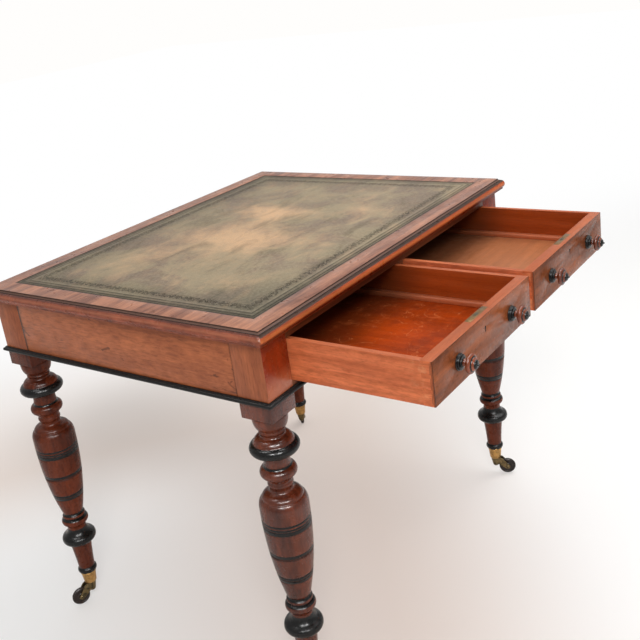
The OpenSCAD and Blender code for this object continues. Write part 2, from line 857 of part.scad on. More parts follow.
// Lock: a shallow box under a plate, with a way for the bolt and a keyhole
module lock_case(s) {
    w = bolt_w / 2 + slide_gap;
    t = bolt_t / 2 + slide_gap;
    y = front_t - lock_d / 2;
    color(brass) at_drawer(s) difference() {
        lock_body();
        block([-w, y - t, drawer_h - bolt_l - 1], [w, y + t, drawer_h + over]);
        keyhole(y);
    }
}

module left_lock_case() {
    lock_case(-1);
}

module right_lock_case() {
    lock_case(1);
}

// The bolt rests drawn back, level with the plate
module lock_bolt(s) {
    y = front_t - lock_d / 2;
    color(brass) at_drawer(s) difference() {
        block([-bolt_w / 2, y - bolt_t / 2, drawer_h - bolt_l], [bolt_w / 2, y + bolt_t / 2, drawer_h]);
        translate([0, y, drawer_h - bolt_l + 3]) rotate([90, 0, 0])
            cylinder(h = 2 * bolt_t, r = 2, center = true);
    }
}

module left_lock_bolt() {
    lock_bolt(-1);
}

module right_lock_bolt() {
    lock_bolt(1);
}

// Turned knob: wooden tenon, ebonised rose, neck, stepped button and pointed tip
function knob_profile() = let (b = knob_l - 13) concat(
    [[0, -front_t], [tenon_r, -front_t], [tenon_r, 0], [rose_r - 1, 0], [rose_r, 1], [rose_r, 2.2]],
    oval([rose_r - 4, 2.6], 3.6, 3.2, 10, 90, 5),
    [[rose_r - 6, 7], [6.5, 8.2], [5.2, 11], [5.2, b - 6], [6.4, b - 4]],
    oval([button_r - 5, b], 5, 4, -70, 75, 7),
    [[button_r - 6, b + 4.6], [button_r - 6.6, b + 6.4], [8.4, b + 7.4], [7.6, b + 8.6]],
    oval([0, b + 8.4], 5.2, 4.6, 15, 90, 5));

module knob(s, x) {
    color(mahogany) at_drawer(s) translate([x, 0, knob_z]) rotate([90, 0, 0])
        rotate_extrude() polygon(knob_profile());
}

module left_knob_outer() {
    knob(-1, -knob_x);
}

module left_knob_inner() {
    knob(-1, knob_x);
}

module right_knob_inner() {
    knob(1, -knob_x);
}

module right_knob_outer() {
    knob(1, knob_x);
}

top_board();
leather_top();
ebonised_fillet();
left_apron();
right_apron();
back_apron();
top_rail();
bottom_rail();
drawer_divider();
apron_bead();
left_runner();
right_runner();
centre_runner();
kickers();
drawer_stops();
glue_blocks();
top_screws();
leg_front_left();
leg_front_right();
leg_back_left();
leg_back_right();
caster_cup_front_left();
caster_cup_front_right();
caster_cup_back_left();
caster_cup_back_right();
caster_horn_front_left();
caster_horn_front_right();
caster_horn_back_left();
caster_horn_back_right();
caster_pin_front_left();
caster_pin_front_right();
caster_pin_back_left();
caster_pin_back_right();
caster_wheel_front_left();
caster_wheel_front_right();
caster_wheel_back_left();
caster_wheel_back_right();
left_drawer_front();
left_drawer_side_left();
left_drawer_side_right();
left_drawer_back();
left_drawer_bottom();
left_drawer_slips();
left_lock_case();
left_lock_bolt();
left_knob_outer();
left_knob_inner();
right_drawer_front();
right_drawer_side_left();
right_drawer_side_right();
right_drawer_back();
right_drawer_bottom();
right_drawer_slips();
right_lock_case();
right_lock_bolt();
right_knob_inner();
right_knob_outer();
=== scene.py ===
"""Victorian writing table: leather top, two open drawers, turned legs on brass casters."""
import json
import math
from functools import partialmethod

import bmesh
import bpy
from mathutils import Matrix, Vector


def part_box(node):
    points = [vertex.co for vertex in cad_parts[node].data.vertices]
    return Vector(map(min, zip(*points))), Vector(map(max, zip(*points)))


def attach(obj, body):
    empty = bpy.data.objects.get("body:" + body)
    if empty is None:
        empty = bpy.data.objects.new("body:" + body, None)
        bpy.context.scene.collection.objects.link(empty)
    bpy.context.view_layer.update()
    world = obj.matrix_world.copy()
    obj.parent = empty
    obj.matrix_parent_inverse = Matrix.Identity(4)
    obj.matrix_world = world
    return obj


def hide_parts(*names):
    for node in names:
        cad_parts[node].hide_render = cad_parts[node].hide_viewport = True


bl_info = {
    "name": "Writing Table",
    "version": (1, 0, 0),
    "blender": (4, 5, 0),
    "location": "View3D > Sidebar > Table",
    "description": "Dresses a leather-topped writing table with turned legs, drawers and casters",
    "category": "Add Mesh",
}

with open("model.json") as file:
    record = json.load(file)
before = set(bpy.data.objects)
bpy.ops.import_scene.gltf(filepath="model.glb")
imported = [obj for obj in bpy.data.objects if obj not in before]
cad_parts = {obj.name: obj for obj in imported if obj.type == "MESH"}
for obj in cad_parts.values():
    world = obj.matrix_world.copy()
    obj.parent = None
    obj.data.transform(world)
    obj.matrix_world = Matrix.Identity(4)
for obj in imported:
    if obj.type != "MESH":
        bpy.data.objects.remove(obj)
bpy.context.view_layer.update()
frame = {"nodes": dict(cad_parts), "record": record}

MM = 0.001
CORNERS = ("front_left", "front_right", "back_left", "back_right")
LOW_LEATHER, HIGH_LEATHER = (Vector(v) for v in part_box("leather_top"))
TABLE_Y = (LOW_LEATHER.y + HIGH_LEATHER.y) / 2
LEATHER_L = HIGH_LEATHER.x - LOW_LEATHER.x
LEATHER_W = HIGH_LEATHER.y - LOW_LEATHER.y
# Degrees: flatter joins between faces are shaded smooth, and sharper edges get an arris
SMOOTH_BELOW = 32.0
TURNED_SMOOTH_BELOW = 34.0
ARRIS_ABOVE = 38.0
# Widths of the arrises that differ from those of the boards: small metalwork and leather, the
# top and the caster horns, the posts, and the lock bolts
FINE_ARRIS, SOFT_ARRIS, POST_ARRIS, BOLT_ARRIS = 0.0003, 0.0005, 0.0009, 0.0002
# How far the four corners of the moulded edge are worn round
CORNER_ROUNDING = 0.0045
# Length of the tenons of the end aprons, which the posts hide
TENON = 0.024
# Directions across the floor: away from the viewer, and to the viewer's right
AWAY = (0.77, 0.64, 0.0)
RIGHTWARD = (0.64, -0.77, 0.0)
# The looks of the pieces by name, which make_materials fills
MATERIALS = {}


def number(name, description, default, low, high, unit="NONE"):
    return bpy.props.FloatProperty(
        name=name, description=description, default=default, min=low, max=high, unit=unit)


def colour(name, default):
    return bpy.props.FloatVectorProperty(
        name=name, description=f"Base colour of the {name.lower()}", default=default,
        min=0.0, max=1.0, size=3, subtype="COLOR")


class TableSizes(bpy.types.PropertyGroup):
    arris: number("Arris", "Width of the softened edge of the boards",
                  0.0006, 0.0001, 0.002, "LENGTH")
    moulding_arris: number("Moulding arris", "Width of the softened edge of black mouldings",
                           0.0004, 0.0001, 0.001, "LENGTH")
    lathe_steps: bpy.props.IntProperty(
        name="Lathe steps", description="Number of steps round a turned piece",
        default=96, min=24, max=192)
    tooling_line: number("Tooling line", "Width of the fine lines pressed into the leather",
                         0.0022, 0.0005, 0.004, "LENGTH")
    scroll_place: number("Scroll place", "Distance of the tooled scroll from the leather's edge",
                         0.038, 0.02, 0.06, "LENGTH")
    scroll_pitch: number("Scroll pitch", "Length of one repeat of the tooled scroll",
                         0.028, 0.01, 0.05, "LENGTH")


class TableColours(bpy.types.PropertyGroup):
    top_light: colour("Top board, light streaks", (0.5, 0.225, 0.135))
    top_dark: colour("Top board, dark streaks", (0.17, 0.072, 0.05))
    moulding_light: colour("Front and back moulding, light streaks", (0.6, 0.1, 0.022))
    moulding_dark: colour("Front and back moulding, dark streaks", (0.16, 0.024, 0.008))
    end_light: colour("End moulding, light streaks", (0.42, 0.11, 0.055))
    end_dark: colour("End moulding, dark streaks", (0.1, 0.024, 0.014))
    # The front faces of the front posts are deep red as painted shade and a painted red
    # reflection of the drawer sides
    front_post: colour("Front faces of the front posts", (0.3, 0.028, 0.002))
    apron_light: colour("Aprons, light figure", (0.5, 0.15, 0.055))
    apron_dark: colour("Aprons, dark figure", (0.25, 0.066, 0.024))
    leg_light: colour("Legs, light grain", (0.175, 0.037, 0.014))
    leg_dark: colour("Legs, dark grain", (0.04, 0.008, 0.004))
    post_light: colour("Square posts, light grain", (0.46, 0.135, 0.05))
    post_dark: colour("Square posts, dark grain", (0.24, 0.062, 0.023))
    knob_light: colour("Knobs, light grain", (0.32, 0.07, 0.022))
    knob_dark: colour("Knobs, dark grain", (0.08, 0.015, 0.006))
    front_light: colour("Drawer fronts, light figure", (0.38, 0.105, 0.034))
    front_dark: colour("Drawer fronts, dark figure", (0.1, 0.03, 0.013))
    side_light: colour("Drawer sides, light grain", (0.75, 0.2, 0.075))
    side_dark: colour("Drawer sides, dark grain", (0.44, 0.1, 0.034))
    inside: colour("Inner faces of the drawers", (0.42, 0.066, 0.008))
    left_bottom: colour("Bottom of the left drawer", (0.44, 0.05, 0.002))
    right_bottom: colour("Bottom of the right drawer", (0.48, 0.165, 0.062))
    deal: colour("Bare softwood under the top", (0.5, 0.32, 0.16))
    # The brown of the black fillet stands in for a painted sheen on its polish
    fillet: colour("Worn black fillet round the leather", (0.12, 0.062, 0.044))
    ebony: colour("Black polish of mouldings and rings", (0.006, 0.006, 0.006))
    leather_olive: colour("Leather, green", (0.32, 0.258, 0.168))
    leather_tan: colour("Leather, worn to tan", (0.66, 0.42, 0.245))
    leather_mauve: colour("Leather, dull brown bloom", (0.22, 0.165, 0.125))
    leather_dark: colour("Leather, dark brushed strokes", (0.115, 0.092, 0.058))
    leather_edge: colour("Leather, dark edge", (0.075, 0.073, 0.052))
    brass: colour("Brass of the caster cups", (0.56, 0.32, 0.11))
    wheel: colour("Dark wood of the caster wheels", (0.026, 0.016, 0.012))


class StageSettings(bpy.types.PropertyGroup):
    # The warm floor colour is a painted bounce of light from the mahogany
    floor: colour("Floor", (0.815, 0.72, 0.655))
    sky_strength: number("Sky", "Strength of the even light from all round", 0.55, 0.0, 2.0)
    floor_glow: number("Floor glow", "Share of the floor's own light, which thins the shadow",
                       0.4, 0.0, 1.0)
    key_power: number("Key", "Watts of the large lamp over the table", 50.0, 0.0, 500.0)
    fill_power: number("Fill", "Watts of the lamp in front of the left end", 50.0, 0.0, 500.0)
    strip_power: number("Strip", "Watts of the long lamp that only glossy polish shows",
                        60.0, 0.0, 500.0)
    window_power: number("Window", "Watts of the wide lamp that only polish in front shows",
                         250.0, 0.0, 1000.0)
    room_strength: number("Room", "Least strength of the room that the polish mirrors",
                          0.5, 0.0, 1.0)
    focal_length: number("Focal length", "Focal length of the camera in millimetres",
                         50.64, 10.0, 200.0)


def pick(obj):
    bpy.ops.object.select_all(action="DESELECT")
    obj.select_set(True)
    bpy.context.view_layer.objects.active = obj


def start_edit(obj):
    pick(obj)
    bpy.ops.object.mode_set(mode="EDIT")
    bpy.ops.mesh.select_all(action="SELECT")


def end_edit():
    bpy.ops.object.mode_set(mode="OBJECT")


def choose(obj, kind, test):
    """Selects the vertices or edges that pass a test, in edit mode."""
    bpy.ops.mesh.select_mode(type=kind)
    bpy.ops.mesh.select_all(action="DESELECT")
    mesh = bmesh.from_edit_mesh(obj.data)
    for part in {"VERT": mesh.verts, "EDGE": mesh.edges}[kind]:
        if test(part):
            part.select_set(True)
    mesh.select_flush_mode()
    bmesh.update_edit_mesh(obj.data)


def finish_piece(obj, name, body, slot, node, angle):
    """Smooths the round parts, names the piece, sets it on its body and hides the CAD node."""
    pick(obj)
    obj.name = name
    obj.data.name = name
    bpy.ops.object.shade_smooth_by_angle(angle=math.radians(angle))
    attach(obj, body)
    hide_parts(node)


def body_and_slot(node):
    """The body that a CAD node rides and its material slot, as the record gives them."""
    record = frame["record"]
    bodies = record["behaviour"]["bodies"].items()
    return (next(body for body, members in bodies if node in members),
            next(part["material_slot"] for part in record["subparts"] if part["node"] == node))


def middle_of(node):
    low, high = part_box(node)
    return [(a + b) / 2 for a, b in zip(low, high)]


def softened(node, look, width=None, rounded=None):
    """A copy of a CAD node with clean faces and softened arrises, which stands for the node.
    rounded may be a test for edges that are rounded more."""
    piece = bpy.data.objects.new(node + "_piece", frame["nodes"][node].data.copy())
    bpy.context.scene.collection.objects.link(piece)
    start_edit(piece)
    bpy.ops.mesh.remove_doubles(threshold=0.00001)
    bpy.ops.mesh.dissolve_limited(angle_limit=math.radians(0.4))
    if rounded:
        choose(piece, "EDGE", rounded)
        bpy.ops.mesh.bevel(offset=CORNER_ROUNDING, segments=5, clamp_overlap=True)
    end_edit()
    bevel = piece.modifiers.new("Arris", "BEVEL")
    bevel.width = width or bpy.context.scene.writing_table_sizes.arris
    bevel.segments = 2
    bevel.angle_limit = math.radians(ARRIS_ABOVE)
    bevel.loop_slide = False
    pick(piece)
    bpy.ops.object.modifier_apply(modifier="Arris")
    piece.data.materials.clear()
    piece.data.materials.append(MATERIALS[look])
    finish_piece(piece, node + "_piece", *body_and_slot(node), node, SMOOTH_BELOW)
    return piece


def paint(piece, look, test):
    """Gives the faces that pass a test a material of their own."""
    piece.data.materials.append(MATERIALS[look])
    for face in piece.data.polygons:
        if test(face):
            face.material_index = len(piece.data.materials) - 1


def arc(cx, cz, rx, rz, a0, a1, n):
    """Points of an oval arc of a lathe profile, in millimetres."""
    turn = [math.radians(a0 + (a1 - a0) * i / n) for i in range(n + 1)]
    return [(cx + rx * math.cos(t), cz + rz * math.sin(t)) for t in turn]


def turned(name, profile, steps, is_black):
    """Draws a profile of (radius, height) millimetres as a chain of points, spins it round Z
    and paints it black at the heights that pass a test."""
    bpy.ops.mesh.primitive_plane_add(size=MM)
    obj = bpy.context.object
    obj.name = name
    bpy.ops.object.mode_set(mode="EDIT")
    choose(obj, "VERT", lambda v: v.index > 0)
    bpy.ops.mesh.delete(type="VERT")
    mesh = bmesh.from_edit_mesh(obj.data)
    mesh.verts.ensure_lookup_table()
    mesh.verts[0].co = (profile[0][0] * MM, 0, profile[0][1] * MM)
    bmesh.update_edit_mesh(obj.data)
    bpy.ops.mesh.select_all(action="SELECT")
    for (r0, z0), (r1, z1) in zip(profile, profile[1:]):
        bpy.ops.mesh.extrude_region_move(
            TRANSFORM_OT_translate={"value": ((r1 - r0) * MM, 0, (z1 - z0) * MM)})
    bpy.ops.mesh.select_all(action="SELECT")
    bpy.ops.mesh.spin(steps=steps, angle=math.tau, axis=(0, 0, 1))
    bpy.ops.mesh.select_all(action="SELECT")
    bpy.ops.mesh.remove_doubles(threshold=0.000002)
    bpy.ops.mesh.normals_make_consistent()
    end_edit()
    obj.data.materials.append(MATERIALS[name])
    paint(obj, "ebony", lambda face: is_black(face.center.z / MM))
    return obj


def moved_copy(obj, place, turn=(0, 0, 0)):
    """A copy with its own mesh, turned about the origin and then moved."""
    pick(obj)
    bpy.ops.object.duplicate()
    copy = bpy.context.object
    copy.rotation_euler = turn
    copy.location = place
    bpy.ops.object.transform_apply()
    return copy


class Nodes:
    """A node tree that is built up node by node."""

    def __init__(self, tree):
        self.tree = tree
        tree.nodes.clear()

    def put(self, socket, value):
        if isinstance(value, bpy.types.NodeSocket):
            self.tree.links.new(value, socket)
        elif hasattr(value, "__len__") and len(value) == 3 and len(socket.default_value) == 4:
            socket.default_value = (*value, 1.0)
        else:
            socket.default_value = value

    def node(self, kind, inputs=None, **settings):
        made = self.tree.nodes.new("ShaderNode" + kind)
        for key, value in settings.items():
            setattr(made, key, value)
        for key, value in (inputs or {}).items():
            self.put(made.inputs[key], value)
        return made

    def math(self, operation, a, b=0.0):
        return self.node("Math", {0: a, 1: b}, operation=operation).outputs[0]

    add = partialmethod(math, "ADD")
    sub = partialmethod(math, "SUBTRACT")
    mul = partialmethod(math, "MULTIPLY")
    max = partialmethod(math, "MAXIMUM")
    min = partialmethod(math, "MINIMUM")
    abs = partialmethod(math, "ABSOLUTE")

    def vector(self, operation, a, b=(0, 0, 0), result="Vector"):
        made = self.node("VectorMath", {0: a, 1: b}, operation=operation)
        return made.outputs[result]

    def split(self, vector):
        return self.node("SeparateXYZ", {0: vector}).outputs

    def join(self, x, y, z):
        return self.node("CombineXYZ", {0: x, 1: y, 2: z}).outputs[0]

    def noise(self, vector, scale, detail=3.0, roughness=0.5, distortion=0.0):
        return self.node("TexNoise", {
            "Vector": vector, "Scale": scale, "Detail": detail, "Roughness": roughness,
            "Distortion": distortion}).outputs["Fac"]

    def smooth(self, value, low, high, to_low=0.0, to_high=1.0):
        """Runs smoothly from to_low to to_high as the value goes from low to high."""
        return self.node("MapRange", {
            "Value": value, "From Min": low, "From Max": high, "To Min": to_low,
            "To Max": to_high}, interpolation_type="SMOOTHSTEP").outputs["Result"]

    def fall(self, value, low, high, most=1.0):
        """Falls smoothly from the most to nothing as the value goes from low to high."""
        return self.smooth(value, low, high, most, 0.0)

    def mix(self, amount, a, b, blend="MIX"):
        made = self.node("Mix", {0: amount, 6: a, 7: b}, data_type="RGBA", blend_type=blend)
        return made.outputs[2]

    def line(self, distance, place, width):
        """1 on a line at that place of a distance, falling to 0 within the width."""
        return self.fall(self.abs(self.sub(distance, place)), 0.0, width)

    def bump(self, height, distance, strength, **more):
        return self.node("Bump", {
            "Height": height, "Distance": distance, "Strength": strength, **more}).outputs[0]


class Shader(Nodes):
    """A material with one Principled shader."""

    def __init__(self, name, **sockets):
        self.material = bpy.data.materials.get(name) or bpy.data.materials.new(name)
        self.material.use_nodes = True
        super().__init__(self.material.node_tree)
        self.output = self.node("OutputMaterial")
        self.skin = self.node("BsdfPrincipled")
        self.put(self.output.inputs["Surface"], self.skin.outputs["BSDF"])
        self.set(**sockets)
        self.place = self.node("TexCoord").outputs["Object"]

    def mapped(self, scale=(1, 1, 1), shift=(0, 0, 0), turn=(0, 0, 0), vector=None):
        return self.node("Mapping", {
            "Vector": vector or self.place, "Location": shift, "Rotation": turn,
            "Scale": scale}).outputs[0]

    def on_table(self):
        """Places measured from the middle of the table."""
        return self.mapped(shift=(0, -TABLE_Y, 0))

    def set(self, **sockets):
        for key, value in sockets.items():
            self.put(self.skin.inputs[key.replace("_", " ")], value)
        return self.material


def shade(tone, share):
    """A colour taken down or up to a share of itself."""
    return [min(v * share, 1) for v in tone]


def wood(name, light, dark, along, seed, gloss, band=16, band_length=9, contrast=1,
         figure=0.3, fleck=0, pores=0.5, slant=0, shine=0.3, coat=0, dash=0, extra=None):
    """Polished wood: broad streaks, fine fibres, cross figure, flecks and open pores that run
    along the grain."""
    s = Shader(name, Coat_Weight=coat, Coat_Roughness=0.16, Specular_IOR_Level=shine)
    shift = (seed * 3.1, seed * 1.7, seed * 2.3)

    def drawn(length, slant, *noise):
        """A noise that is drawn out along the grain into streaks."""
        scale = [1, 1, 1]
        scale["XYZ".index(along)] = 1 / length
        turn = {"X": (0, slant, slant), "Y": (slant, 0, slant), "Z": (slant, slant, 0)}[along]
        return s.noise(s.mapped(scale, shift, turn), *noise)

    broad = drawn(band_length, slant, band, 4, 0.55, 0.35)
    fibre = drawn(26, 0, 420, 2, 0.6)
    streak = drawn(18, slant, 90, 3, 0.55, 0.2)
    mottle = s.noise(s.mapped(shift=shift), 38, 3, 0.5, 0.6)
    tone = s.add(s.mul(s.smooth(broad, 0.32, 0.68), 0.62 * contrast),
                 s.mul(s.smooth(streak, 0.3, 0.7), 0.3 * contrast))
    tone = s.add(tone, s.mul(s.sub(mottle, 0.5), figure))
    tone = s.add(tone, 0.5 - 0.46 * contrast)
    base = s.mix(s.max(s.min(tone, 1), 0), light, dark)
    base = s.mix(s.mul(s.smooth(fibre, 0.42, 0.7), 0.22), base, shade(dark, 0.45))
    pore = s.smooth(drawn(14, 0, 1500, 1, 0.4), 0.62, 0.72)
    base = s.mix(s.mul(pore, 0.55 * pores), base, shade(dark, 0.25))
    if dash:
        short = drawn(4.5, slant, 210, 3, 0.6)
        base = s.mix(s.mul(s.smooth(short, 0.48, 0.66), dash), base, shade(dark, 0.55))
        base = s.mix(s.mul(s.smooth(short, 0.46, 0.3), 0.5 * dash), base, shade(light, 1.35))
    if fleck:
        marks = s.smooth(drawn(2.2, 0, 75, 2, 0.5, 0.8), 0.66, 0.76)
        base = s.mix(s.mul(marks, fleck), base, shade(dark, 0.4))
    if extra:
        base = extra(s, base)
    rough = s.smooth(s.noise(s.mapped(shift=shift), 55), 0.3, 0.7, gloss - 0.05, gloss + 0.08)
    relief = s.sub(s.mul(fibre, 0.25), pore)
    return s.set(Base_Color=base, Roughness=rough, Normal=s.bump(relief, 0.00012, 0.35))


def turned_wood(name, light, dark, gloss, shine):
    """Polished wood of the legs and knobs, with grain up the piece and rings of the lathe."""
    def rings(s, base):
        marks = s.noise(s.join(0, 0, s.split(s.place)[2]), 900, 2)
        return s.mix(s.mul(s.smooth(marks, 0.5, 0.75), 0.25), base, shade(dark, 0.5))
    return wood(name, light, dark, "Z", 1.3, gloss, 26, 7, figure=0.35, shine=shine,
                dash=0.3, extra=rings)


def ebonised(name, tone, shine=0.3, gloss=0.25, lines=None):
    """Worn black polish; lines may add the dark edges of a strip."""
    s = Shader(name, Specular_IOR_Level=shine)
    wear = s.noise(s.place, 140, 4, 0.6)
    base = s.mix(s.smooth(wear, 0.55, 0.85), tone, (0.02, 0.014, 0.01))
    if lines:
        base = lines(s, base)
    rough = s.smooth(s.noise(s.place, 60), 0.3, 0.7, gloss - 0.05, gloss + 0.09)
    return s.set(Base_Color=base, Roughness=rough, Normal=s.bump(wear, 0.00008, 0.4))


# Middle, half length, half width and strength of the worn patches, from the table's middle
WORN_PATCHES = (
    (-0.045, 0, 0.085, 0.2, 0.5), (-0.13, 0.03, 0.09, 0.13, 0.25),
    (0.12, 0.05, 0.075, 0.14, 0.55), (0.04, 0.03, 0.08, 0.08, 0.2),
    (-0.2, 0.13, 0.1, 0.08, 0.2), (-0.28, -0.14, 0.06, 0.06, 0.22),
    (0.16, -0.15, 0.06, 0.06, 0.2),
)
# How far the outlines of the worn patches wander
WANDER = 0.12
# Distance from the leather's edge, half width in tooling lines and strength of the plain lines
TOOLED_LINES = ((0.001, 2.3, 1), (0.0088, 1.6, 0.95), (0.0185, 1.8, 0.7))


def leather(name, sizes, colours):
    """Hide with a pebbled grain, mottled from olive to tan, and a tooled border."""
    s = Shader(name, Specular_IOR_Level=0.08)
    on_table = s.on_table()
    x, y = s.split(on_table)[:2]
    from_end = s.sub(LEATHER_L / 2, s.abs(x))
    from_side = s.sub(LEATHER_W / 2, s.abs(y))
    edge = s.min(from_end, from_side)
    on_end = s.math("LESS_THAN", from_end, from_side)
    along = s.add(s.mul(y, on_end), s.mul(x, s.sub(1, on_end)))
    # Plain lines, worn through in places, with a pale ridge beside them
    width = sizes.tooling_line
    rope = s.noise(s.place, 260, 2)
    worn = s.smooth(s.noise(s.place, 24, 3, 0.6), 0.3, 0.5, 0.6, 1)
    lines = 0
    for place, half, strength in TOOLED_LINES:
        lines = s.max(lines, s.mul(s.line(edge, place, s.mul(width, half)), strength))
    lines = s.mul(lines, s.mul(worn, s.smooth(rope, 0.35, 0.5, 0.75, 1)))
    # The outer 11 mm of the leather is darkened as a painted shadow of the raised border
    lines = s.max(lines, s.fall(edge, 0.011, 0.015, 0.46))
    ridges = s.max(s.line(edge, 0.0115, width), s.line(edge, 0.022, 0.005))
    # Scroll of leaves on a waving stem
    pitch = sizes.scroll_pitch
    wave = s.math("SINE", s.mul(along, math.tau / pitch))
    stem = s.line(s.sub(edge, s.mul(wave, 0.004)), sizes.scroll_place, 0.0036)
    leaf_x = s.mul(s.sub(s.math("FRACT", s.math("DIVIDE", along, pitch / 2)), 0.5), pitch / 2)
    from_scroll = s.sub(edge, sizes.scroll_place)
    leaf_y = s.sub(from_scroll, s.mul(s.math("SIGN", wave), -0.0025))
    leaf = s.math("SQRT", s.add(s.mul(leaf_x, leaf_x), s.mul(leaf_y, leaf_y)))
    leaf = s.max(s.line(leaf, 0.0036, 0.0026), s.fall(leaf, 0.0008, 0.002))
    band = s.fall(s.abs(from_scroll), 0.0085, 0.011)
    broken = s.smooth(s.noise(s.place, 190, 3, 0.6), 0.38, 0.54, 0.05, 0.8)
    scroll = s.mul(s.mul(s.max(stem, leaf), band), broken)
    specks = s.smooth(s.noise(s.place, 330, 2), 0.5, 0.62, 0.04, 0.6)
    tooling = s.max(lines, s.max(scroll, s.mul(band, specks)))
    # Olive and mauve ground, worn to tan in patches
    clouds = s.noise(s.mapped(shift=(2.1, 5.4, 0)), 14, 5, 0.62, 0.4)
    patches = s.noise(s.mapped(shift=(7.3, 1.2, 0)), 9, 4, 0.6, 0.5)
    small = s.noise(s.place, 45, 5, 0.65, 0.5)
    drift = s.node("TexNoise", {"Vector": s.place, "Scale": 9, "Detail": 4})
    drift = s.vector("MULTIPLY", drift.outputs["Color"], (WANDER, WANDER, 0))
    ragged = s.vector("ADD", on_table, drift)
    tan = s.mul(clouds, 0.5)
    for px, py, rx, ry, strength in WORN_PATCHES:
        place = s.mapped((1 / rx, 1 / ry, 0),
                         (-(px + WANDER / 2) / rx, -(py + WANDER / 2) / ry, 0), vector=ragged)
        far = s.vector("LENGTH", place, result="Value")
        tan = s.add(tan, s.fall(far, 0, 1.3, strength))
    tan = s.smooth(s.add(tan, s.mul(small, 0.5)), 0.42, 1.15)
    base = s.mix(s.smooth(patches, 0.4, 0.62), colours.leather_olive, colours.leather_mauve)
    base = s.mix(tan, base, colours.leather_tan)
    brushed = s.noise(s.mapped((0.55, 1.2, 1), (1.7, 4.2, 0), (0, 0, 0.35)), 13, 6, 0.66,
                      0.7)
    base = s.mix(s.smooth(brushed, 0.5, 0.68, 0, 0.48), base, colours.leather_dark)
    base = s.mix(s.smooth(brushed, 0.46, 0.3, 0, 0.32), base, colours.leather_tan)
    # Darker round the edge, and most at the corner nearest the viewer
    rim = s.fall(s.add(edge, s.mul(small, 0.03)), 0.05, 0.115)
    rim = s.mul(rim, s.smooth(s.sub(y, s.mul(x, 0.4)), -0.3, 0.1, 0.2, 0.5))
    near_corner = (-LEATHER_L / 2, -LEATHER_W / 2, HIGH_LEATHER.z)
    corner = s.vector("DISTANCE", on_table, near_corner, "Value")
    corner = s.fall(s.add(corner, s.mul(small, 0.06)), 0.06, 0.3, 0.8)
    base = s.mix(s.max(rim, corner), base, colours.leather_edge)
    rub = s.smooth(s.noise(s.mapped(shift=(3, 3, 0)), 150, 4, 0.7), 0.35, 0.7)
    base = s.mix(s.mul(rub, 0.22), base, (0.5, 0.42, 0.3))
    grain = s.node("TexVoronoi", {"Vector": s.place, "Scale": 900})
    grain = grain.outputs["Distance"]
    base = s.mix(s.mul(s.smooth(grain, 0.35, 0.7), 0.18), base, (0.03, 0.03, 0.02))
    base = s.mix(s.mul(ridges, 0.2), base, (0.36, 0.31, 0.22))
    pressed = s.mul(tooling, s.smooth(s.add(x, y), -0.3, 0.2, 0.95, 0.78))
    base = s.mix(pressed, base, (0.008, 0.007, 0.005))
    rough = s.smooth(small, 0.3, 0.7, 0.52, 0.64)
    normal = s.bump(grain, 0.00012, 0.5, Normal=s.bump(tooling, -0.0006, 0.8))
    return s.set(Base_Color=base, Roughness=rough, Normal=normal)


def aged_metal(name, tone, dirt, tint=(0.1, 0.07, 0.035)):
    """Brass, bronze or steel that has gone dull in spots."""
    s = Shader(name, Metallic=1)
    spots = s.noise(s.place, 120, 5, 0.65)
    base = s.mix(s.mul(s.smooth(spots, 0.42, 0.66), dirt), tone, tint)
    rough = s.smooth(spots, 0.35, 0.7, 0.28, 0.52)
    return s.set(Base_Color=base, Roughness=rough, Normal=s.bump(spots, 0.0001, 0.3))


def from_low(s, node, axis):
    """How far a place lies beyond the lowest X, Y or Z of a node."""
    number = "XYZ".index(axis)
    return s.sub(s.split(s.place)[number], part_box(node)[0][number])


def front_seams(s, base):
    """The drawer fronts are veneered: a dark line of glue shows on their end edges."""
    depth = from_low(s, "left_drawer_front", "Y")
    seam = s.max(s.line(depth, 0.0022, 0.0009), s.line(depth, 0, 0.002))
    across = s.split(s.node("NewGeometry").outputs["Normal"])[0]
    seam = s.mul(seam, s.smooth(s.abs(across), 0.6, 0.9))
    return s.mix(seam, base, (0.012, 0.006, 0.004))


def front_outline(s, base):
    """Old polish and dirt along the edges of the drawer fronts."""
    place = s.split(s.place)
    rim = s.line(place[2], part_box("left_drawer_front")[1][2], 0.0014)
    for side in ("left", "right"):
        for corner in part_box(side + "_drawer_front"):
            rim = s.max(rim, s.line(place[0], corner[0], 0.0022))
    return s.mix(s.mul(rim, 0.85), base, (0.02, 0.008, 0.005))


def dark_line_at_leather(s, base):
    """Darker along the inner edge of the border, where it meets the leather."""
    x, y = s.split(s.on_table())[:2]
    out = s.max(s.sub(s.abs(x), LEATHER_L / 2), s.sub(s.abs(y), LEATHER_W / 2))
    return s.mix(s.mul(s.line(out, 0, 0.003), 0.85), base, (0.02, 0.012, 0.008))


def painted_light_on_moulding(s, base):
    """Painted light on the moulded edge: a pale painted highlight along its round, painted shade
    below it and painted shade in its upper corner.
    """
    height = from_low(s, "top_board", "Z")
    base = s.mix(s.mul(s.line(height, 0.0115, 0.006), 0.55), base, (0.62, 0.19, 0.06))
    base = s.mix(s.fall(height, 0.0055, 0.0105, 0.75), base, (0.08, 0.012, 0.004))
    return s.mix(s.smooth(height, 0.016, 0.018, 0, 0.95), base, (0.035, 0.022, 0.014))


def painted_light_on_end_moulding(s, base):
    """Painted light on the end moulding: a pale painted highlight on its round and painted shade
    in its upper corner.
    """
    height = from_low(s, "top_board", "Z")
    base = s.mix(s.mul(s.line(height, 0.0145, 0.004), 0.6), base, (0.42, 0.15, 0.085))
    return s.mix(s.smooth(height, 0.0172, 0.019, 0, 0.7), base, (0.06, 0.02, 0.015))


def painted_reflection_fade(s, base):
    """The painted red reflection on the front of a post fades to plain brown at its foot."""
    fade = s.fall(from_low(s, "left_apron", "Z"), 0.018, 0.06, 0.9)
    return s.mix(fade, base, (0.42, 0.12, 0.05))


